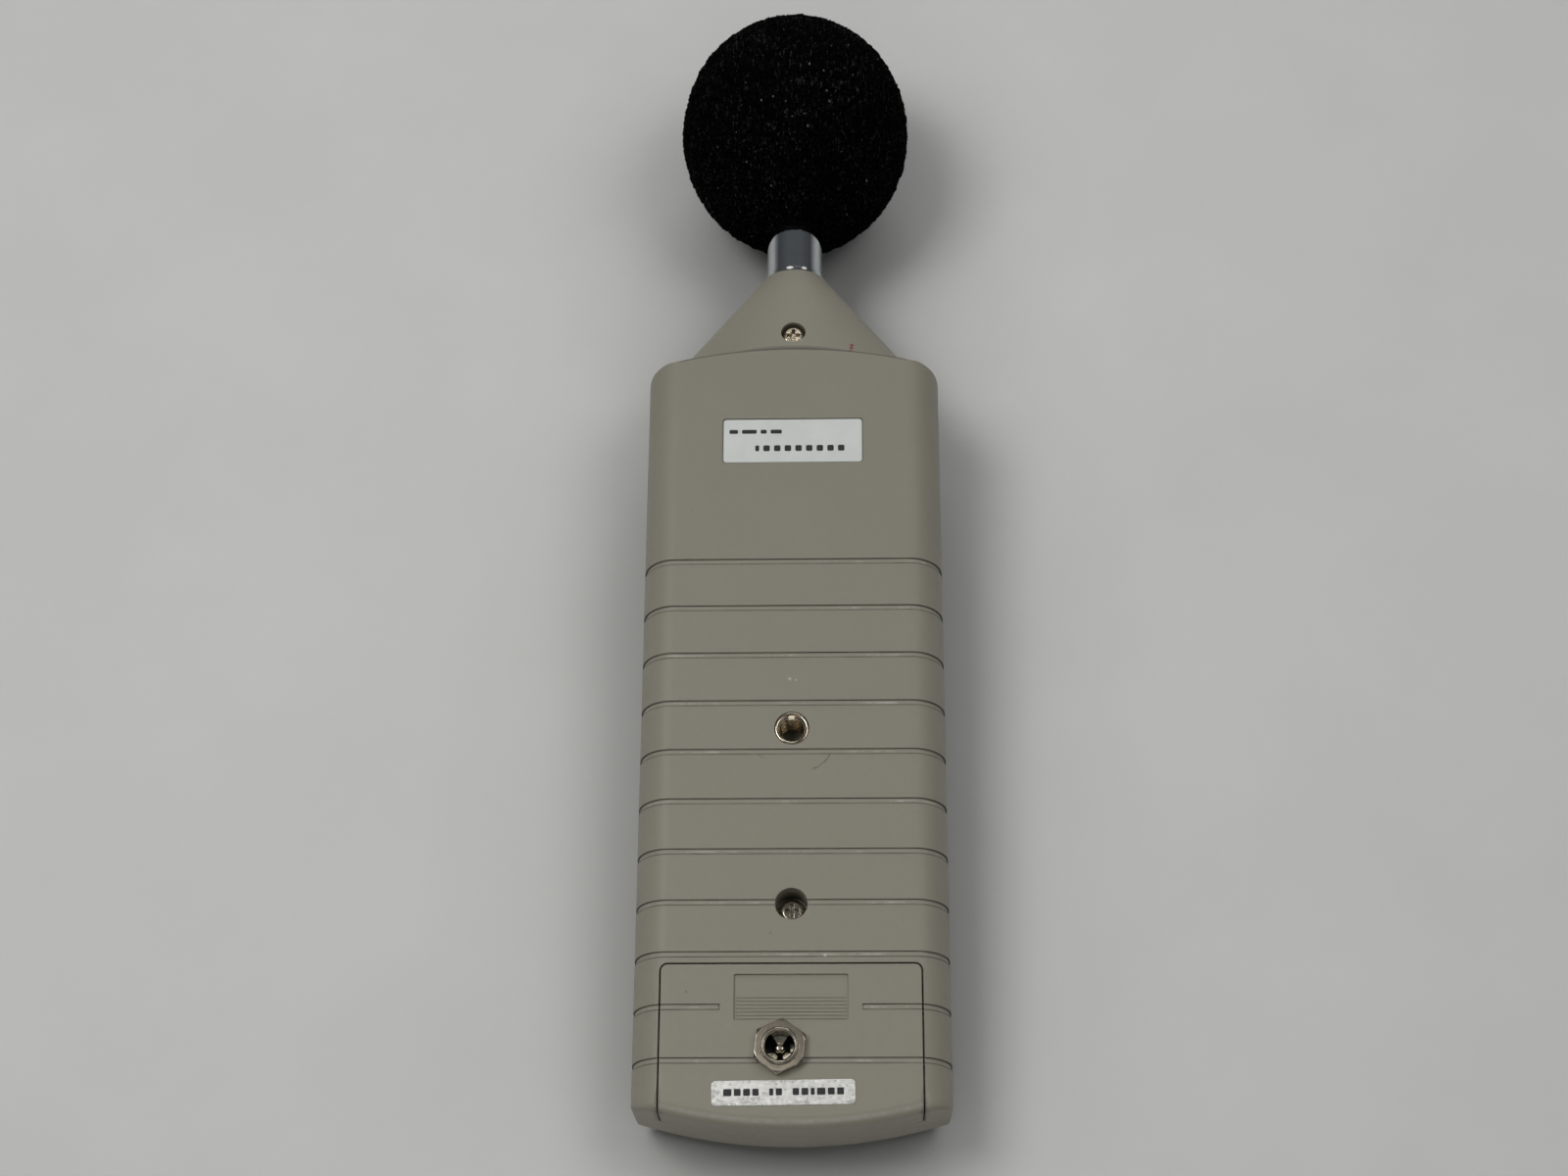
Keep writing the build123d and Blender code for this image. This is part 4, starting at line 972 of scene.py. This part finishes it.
def foil_label():
    half_x, half_y = FOIL_HALF
    columns, rows = FOIL_GRID
    wave = rng.normal(0, 1.0, (FOIL_WAVES, 2)) * np.array([0.9, 1.5])
    phase = rng.uniform(0, 6.28, FOIL_WAVES)
    top, bottom = [], []
    for j in range(rows + 1):
        for i in range(columns + 1):
            x = -half_x + 2 * half_x * i / columns
            y = -half_y + 2 * half_y * j / rows
            # pull the square corners in to rounded ones
            over_x = abs(x) - (half_x - FOIL_CORNER)
            over_y = abs(y) - (half_y - FOIL_CORNER)
            if over_x > 0 and over_y > 0:
                pull = max(over_x, over_y) / math.hypot(over_x, over_y)
                x = math.copysign(half_x - FOIL_CORNER + over_x * pull, x)
                y = math.copysign(half_y - FOIL_CORNER + over_y * pull, y)
            crinkle = sum(math.sin(wave[q] @ np.array((x, y)) + phase[q])
                          for q in range(FOIL_WAVES)) / FOIL_WAVES
            inset = min(half_x - abs(x), half_y - abs(y))
            curl = max(0, 1 - inset / 0.35) * max(0, math.sin(x * 1.7 + y * 2.3))
            lift = 0.10 + 0.055 * crinkle + 0.05 * curl
            place = turned(x, y, FOIL_TILT, FOIL_CENTER)
            top.append((*place, lift))
            bottom.append((*place, max(0.012, lift - 0.05) if inset > 0.05 else 0.012))
    label = mesh_piece("foil_label_crinkled", top + bottom, sheet_faces(columns, rows),
                       [SLOT["foil"]], "battery_cover")
    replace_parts(label, "foil_label")


foil_label()

# ---------------------------------------------------------------------------
# Three sprung contact leaves in the bore of the socket
# ---------------------------------------------------------------------------
LEAF_ARCS = ((198, 252), (288, 342), (60, 120))     # start and end angle of each root
LEAF_GRID = (12, 10)
LEAF_ROOT_RADIUS = 2.95
LEAF_REACH = 1.65                       # how far a leaf runs towards the pin
LEAF_THICKNESS = 0.16


def socket_leaves():
    low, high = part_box("dc_jack_pin")
    center_x, center_y = (low[0] + high[0]) / 2 / MM, (low[1] + high[1]) / 2 / MM
    columns, rows = LEAF_GRID
    verts, faces = [], []
    for start, end in LEAF_ARCS:
        faces += sheet_faces(columns, rows, base=len(verts))
        for drop in (0.0, LEAF_THICKNESS):
            for i in range(rows + 1):
                v = i / rows
                radius = LEAF_ROOT_RADIUS - LEAF_REACH * v
                z = -1.9 - 0.30 * v - 0.10 * v * v
                share = 2 * (0.5 - 0.10 * v)        # the leaf narrows towards its tip
                for j in range(columns + 1):
                    u = j / columns
                    angle = math.radians(start + (end - start) * (0.5 + (u - 0.5) * share))
                    verts.append((center_x + radius * math.cos(angle),
                                  center_y + radius * math.sin(angle),
                                  z + 0.07 * math.sin(u * math.pi) - drop))
    mesh_piece("socket_contact_leaves", verts, faces, [SLOT["tinned_brass"]], "battery_cover",
               sharp=40)


socket_leaves()

# ---------------------------------------------------------------------------
# Leads: a red and a black wire each, as points (x, y, z) along the wire
# ---------------------------------------------------------------------------
LEAD_RADIUS = 0.6
JACK_RED = [
    (-19.5, -64.0, -11.0), (-17.6, -63.0, -11.4), (-15.0, -60.6, -13.0), (-9.0, -58.0, -12.5),
    (-2.5, -57.6, -10.4), (0.4, -60.0, -8.4), (0.7, -63.3, -7.6)]
JACK_BLACK = [
    (-19.5, -68.0, -13.0), (-17.4, -66.4, -14.6), (-14.5, -63.2, -16.4), (-9.0, -60.2, -16.0),
    (-4.6, -59.3, -13.4), (-2.5, -61.0, -10.8), (-2.3, -63.3, -9.8)]
BATTERY_RED = [
    (-28.6, -55.6, -10.5), (-27.2, -53.9, -11.4), (-24.0, -52.6, -13.0), (-14.0, -53.0, -15.8),
    (2.0, -53.2, -15.2), (9.2, -51.6, -13.6), (10.6, -48.6, -13.2), (10.7, -44.5, -16.2)]
BATTERY_BLACK = [
    (-28.6, -55.6, -13.5), (-27.2, -54.4, -14.4), (-24.0, -53.6, -15.6), (-14.0, -54.8, -18.0),
    (2.0, -55.0, -17.6), (11.0, -52.6, -14.8), (12.9, -48.8, -13.2), (13.3, -44.5, -16.2)]


def lead_pair(name, red, black):
    verts, faces, face_material = [], [], []
    for index, points in enumerate((red, black)):
        base = len(verts)
        tube_verts, tube_faces = tube(points, LEAD_RADIUS)
        verts.extend(tube_verts)
        faces.extend(tuple(base + i for i in face) for face in tube_faces)
        face_material.extend([index] * len(tube_faces))
    return mesh_piece(name, verts, faces, [SLOT["lead_red"], SLOT["lead_black"]], "meter",
                      face_material)


def jack_leads():
    """These reach from the meter to the cover, so they are taken off both bodies and left free."""
    leads = lead_pair("jack_leads_flexible", JACK_RED, JACK_BLACK)
    placed = leads.matrix_world.copy()
    leads.parent = None
    leads.matrix_world = placed
    # the mark of a rigid ride, where there is one, is taken off
    if "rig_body" in leads:
        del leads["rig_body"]
    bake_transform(leads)
    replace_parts(leads, "jack_leads")


jack_leads()
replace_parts(lead_pair("battery_leads_pair", BATTERY_RED, BATTERY_BLACK),
            "battery_leads")


# ---------------------------------------------------------------------------
# Printing: plain bars stand for lettering
# ---------------------------------------------------------------------------
def ink(name, color, rough, grain_depth, vary):
    return plastic(name, color, rough, grain=5.0, grain_depth=grain_depth, vary=vary,
                   corner_shade=0, wear=0)


ink_dark = ink("ink_dark", (0.02, 0.02, 0.022), rough=0.45, grain_depth=0.004, vary=0.1)
ink_light = ink("ink_light", (0.62, 0.60, 0.52), rough=0.45, grain_depth=0.004, vary=0.05)
lcd_ink = ink("lcd_ink", (0.205, 0.232, 0.172), rough=0.2, grain_depth=0.002, vary=0.04)


def serial_label_print():
    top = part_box("serial_label")[1][2] / MM
    bars = bar_row(-14.6, (2.0, 3.4, 1.4, 2.6), gap=0.9, y0=72.1, y1=73.1, radius=0.3)
    bars += bar_row(-8.6, (0.9,) + (1.5,) * 8, gap=0.95, y0=67.6, y1=69.1, radius=0.35)
    plates("serial_label_bars", bars, "meter", ink_dark, top + 0.001, top + 0.018)


def foil_label_print():
    widths = (1.7, 1.4, 1.4, 1.3, 0, 0.8, 1.3, 0, 1.3, 1.4, 0.8, 1.7, 1.4, 1.4)
    bars = bar_row(-12.4, widths, gap=0.52, y0=-0.72, y1=0.72, radius=0.22, space=1.7)
    bars = [[turned(x, y, FOIL_TILT, (-1.6, -79.95)) for x, y in outline] for outline in bars]
    plates("foil_label_bars", bars, "battery_cover", ink_dark, 0.14, 0.205)


def switch_marks(x, y, travel, positions):
    """A tick and a short bar at each position of a slide switch, and two bars below it."""
    out = []
    for i in range(positions):
        at = x - travel / 2 + travel * i / (positions - 1)
        out.append(bar(at - 0.2, at + 0.2, y + 3.0, y + 4.2))
        out.append(bar(at - 0.55, at + 0.55, y + 4.9, y + 5.5, 0.15))
    out.append(bar(x - travel / 2 - 3.2, x + travel / 2 + 3.2, y - 3.9, y - 3.7))
    out.append(bar(x - 2.6, x + 2.6, y - 5.3, y - 4.6, 0.2))
    return out


def panel_print():
    """Marks round the controls, and a scale beyond the display."""
    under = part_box("front_overlay")[0][2] / MM
    marks = switch_marks(-6.0, 32.0, travel=7.5, positions=4)
    marks += switch_marks(-15.0, 14.0, travel=2.5, positions=2)
    marks += switch_marks(0.0, 14.0, travel=2.5, positions=2)
    marks.append(bar(12.2, 17.8, 7.4, 8.1, 0.2))
    marks.append(bar(12.9, 17.1, 36.2, 36.9, 0.2))
    # dots on a circle, 30 degrees apart
    for i in range(11):
        angle = math.radians(-60 + 30 * i)
        marks.append(disc(15 + 3.0 * math.cos(angle), 32 + 3.0 * math.sin(angle), 0.17, seg=10))
    # scale of ticks, every fifth one longer
    for i in range(21):
        at = -20.0 + 2.0 * i
        marks.append(bar(at - 0.1, at + 0.1, 77.2, 78.9 if i % 5 == 0 else 78.1))
    marks.append(bar(-9.5, 9.5, 80.4, 81.6, 0.3))
    marks.append(bar(-20.5, 20.5, 0.6, 0.85))
    for i in range(5):
        marks.append(bar(-18 + 8.2 * i, -13.2 + 8.2 * i, -2.6, -1.7, 0.25))
    plates("panel_marks", marks, "meter", ink_light, under - 0.022, under - 0.002)


DIGIT_WIDTH, DIGIT_HEIGHT, SEGMENT_WIDTH = 6.0, 13.0, 1.15
DIGIT_SLANT = -0.08
DIGIT_PITCH = 9.8
# place in half widths and quarter heights, and whether the segment lies along x
SEGMENTS = ((0, 2, True), (0, 0, True), (0, -2, True),
            (-1, 1, False), (1, 1, False), (-1, -1, False), (1, -1, False))


def digit(center_x, center_y):
    """The seven pointed segments of one digit."""
    out = []
    half = SEGMENT_WIDTH / 2
    for column, row, level in SEGMENTS:
        mid_x, mid_y = column * DIGIT_WIDTH / 2, row * DIGIT_HEIGHT / 4
        reach = (DIGIT_WIDTH if level else DIGIT_HEIGHT / 2) / 2 - SEGMENT_WIDTH * 0.62
        if level:
            points = [(-reach - half, 0), (-reach, half), (reach, half),
                      (reach + half, 0), (reach, -half), (-reach, -half)]
        else:
            points = [(0, -reach - half), (half, -reach), (half, reach),
                      (0, reach + half), (-half, reach), (-half, -reach)]
        out.append([(center_x + mid_x + x + (mid_y + y) * DIGIT_SLANT, center_y + mid_y + y)
                    for x, y in points])
    return out


def display_print():
    """Resting display: unlit digits, a point, a bar scale and three short bars."""
    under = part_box("lcd_panel")[0][2] / MM
    shapes = []
    for i in range(4):
        shapes += digit(15.0 - DIGIT_PITCH * i, 61.6)
    shapes.append(disc(-9.4, 54.8, 0.62))
    for i in range(24):
        shapes.append(bar(-18.4 + 1.6 * i, -17.4 + 1.6 * i, 50.0, 51.7))
    for x in (17.5, 9.0, -12.5):
        shapes.append(bar(x - 2.2, x + 2.2, 70.4, 71.4, 0.2))
    plates("lcd_segments", shapes, "meter", lcd_ink, under - 0.022, under - 0.003)


serial_label_print()
foil_label_print()
panel_print()
display_print()

# Smooth shading for the CAD parts that are still shown
for part in nodes.values():
    if part.hide_render:
        continue
    mesh = part.data
    mesh.polygons.foreach_set("use_smooth", [True] * len(mesh.polygons))
    if not mesh.has_custom_normals:
        mesh.set_sharp_from_angle(angle=math.radians(28))

# ---------------------------------------------------------------------------
# Floor: it slopes, since the meter rests on its low end and on the ball
# ---------------------------------------------------------------------------
FLOOR_SLOPE = 0.05491
FLOOR_HALF = 3000.0


def floor_z(y):
    return -29.0 - FLOOR_SLOPE * (y + 81.3) - 0.05


def floor_material():
    mat = Mat("floor_mat")
    cloud = mat.noise(scale=0.02, detail=3, rough=0.6)
    paint = mat.mix(cloud.spread(), (0.70, 0.70, 0.69), (0.73, 0.73, 0.72))
    # painted contact shadow: the floor is painted darker near the object, from ambient occlusion
    painted_contact_shadow = mat.ao(reach=55, samples=8).fall(0.35, 0.97, peak=0.55)
    paint = mat.mix(painted_contact_shadow, paint, (0.20, 0.20, 0.195))
    grain = mat.noise(scale=0.8, detail=3, rough=0.6)
    # a glow far from the object keeps the backdrop's tone, so that no dark horizon shows
    x, y, z = mat.axes()
    away = (x * x + y * y) ** 0.5
    return mat.finish(color=paint, rough=0.7, spec=0.25,
                      normal=mat.bump(grain, depth=0.05, strength=0.3),
                      glow_color=(1.0, 1.0, 0.995),
                      glow=away.ramp(520.0, 1500.0, to=(0.0, 0.235), smooth=True))


def make_floor():
    corners = ((-1, -1), (1, -1), (1, 1), (-1, 1))
    mesh = bpy.data.meshes.new("floor")
    mesh.from_pydata([(i * FLOOR_HALF * MM, j * FLOOR_HALF * MM, floor_z(j * FLOOR_HALF) * MM)
                      for i, j in corners], [], [(0, 1, 2, 3)])
    floor = bpy.data.objects.new("floor", mesh)
    bpy.context.scene.collection.objects.link(floor)
    mesh.materials.append(floor_material())


make_floor()


# ---------------------------------------------------------------------------
# Lights (metres and watts), world and camera
# ---------------------------------------------------------------------------
def area(name, place, target, size, power, color):
    light = bpy.data.lights.new(name, "AREA")
    light.shape = "RECTANGLE"
    light.size, light.size_y = size
    light.energy = power
    light.color = color
    lamp = bpy.data.objects.new(name, light)
    bpy.context.scene.collection.objects.link(lamp)
    lamp.location = place
    lamp.rotation_euler = (Vector(target) - Vector(place)).to_track_quat("-Z", "Y").to_euler()


area("left_soft", place=(-0.40, 0.13, 0.83), target=(0.0, 0.03, -0.02), size=(0.40, 0.40),
     power=3.2, color=(1.0, 0.99, 0.965))
area("right_soft", place=(0.44, 0.12, 0.83), target=(0.0, 0.03, -0.02), size=(0.40, 0.40),
     power=1.62, color=(1.0, 0.99, 0.97))
area("back_far", place=(0.10, 1.15, 0.70), target=(0, 0.03, -0.02), size=(0.8, 0.35),
     power=3.0, color=(0.99, 0.995, 1.0))
area("front_fill", place=(-0.05, -0.75, 0.34), target=(0.0, -0.05, -0.02), size=(0.5, 0.25),
     power=0.55, color=(1.0, 0.99, 0.97))
area("sheen_card", place=(-0.032, 0.086, 0.75), target=(0.0, -0.07, 0.0), size=(0.034, 0.034),
     power=0.0034, color=(1.0, 0.97, 0.93))
area("nose_card", place=(-0.024, 0.500, 0.75), target=(0.0, 0.10, 0.0), size=(0.030, 0.026),
     power=0.0110, color=(1.0, 0.96, 0.90))


def make_world():
    """Dim overhead, brighter towards and below the horizon."""
    world = bpy.data.worlds.new("studio")
    bpy.context.scene.world = world
    world.use_nodes = True
    tree = world.node_tree
    tree.nodes.clear()
    coords = add_node(tree, "TexCoord", {})
    axes = add_node(tree, "SeparateXYZ", {0: coords.outputs["Generated"]})
    horizon = add_node(tree, "MapRange", {"Value": axes.outputs[2], "From Min": 0.02,
                                          "From Max": 0.30, "To Min": 1.0, "To Max": 0.0})
    sky = add_node(tree, "Mix", {0: horizon.outputs["Result"], 6: (0.082, 0.087, 0.09),
                                 7: (0.30, 0.302, 0.305)}, data_type="RGBA")
    background = add_node(tree, "Background", {"Color": sky.outputs[2], "Strength": 1.0})
    add_node(tree, "OutputWorld", {0: background.outputs[0]})


def make_camera():
    data = bpy.data.cameras.new("camera")
    data.sensor_width = 36.0
    data.lens = 58.5
    data.clip_start = 0.01
    data.clip_end = 20
    camera = bpy.data.objects.new("camera", data)
    bpy.context.scene.collection.objects.link(camera)
    # the camera's own x, y and z axes, one to a row
    axes = Matrix(((0.99961717, 0.00406553, -0.02736746),
                   (0.00689935, 0.92127017, 0.38886202),
                   (0.02679376, -0.38890197, 0.92088944)))
    place = Vector((13.482, -189.094, 526.819)) * MM
    camera.matrix_world = Matrix.Translation(place) @ axes.transposed().to_4x4()
    bpy.context.scene.camera = camera


make_world()
make_camera()
view = bpy.context.scene.view_settings
view.view_transform = "Standard"
view.look = "None"
view.exposure = 0.0
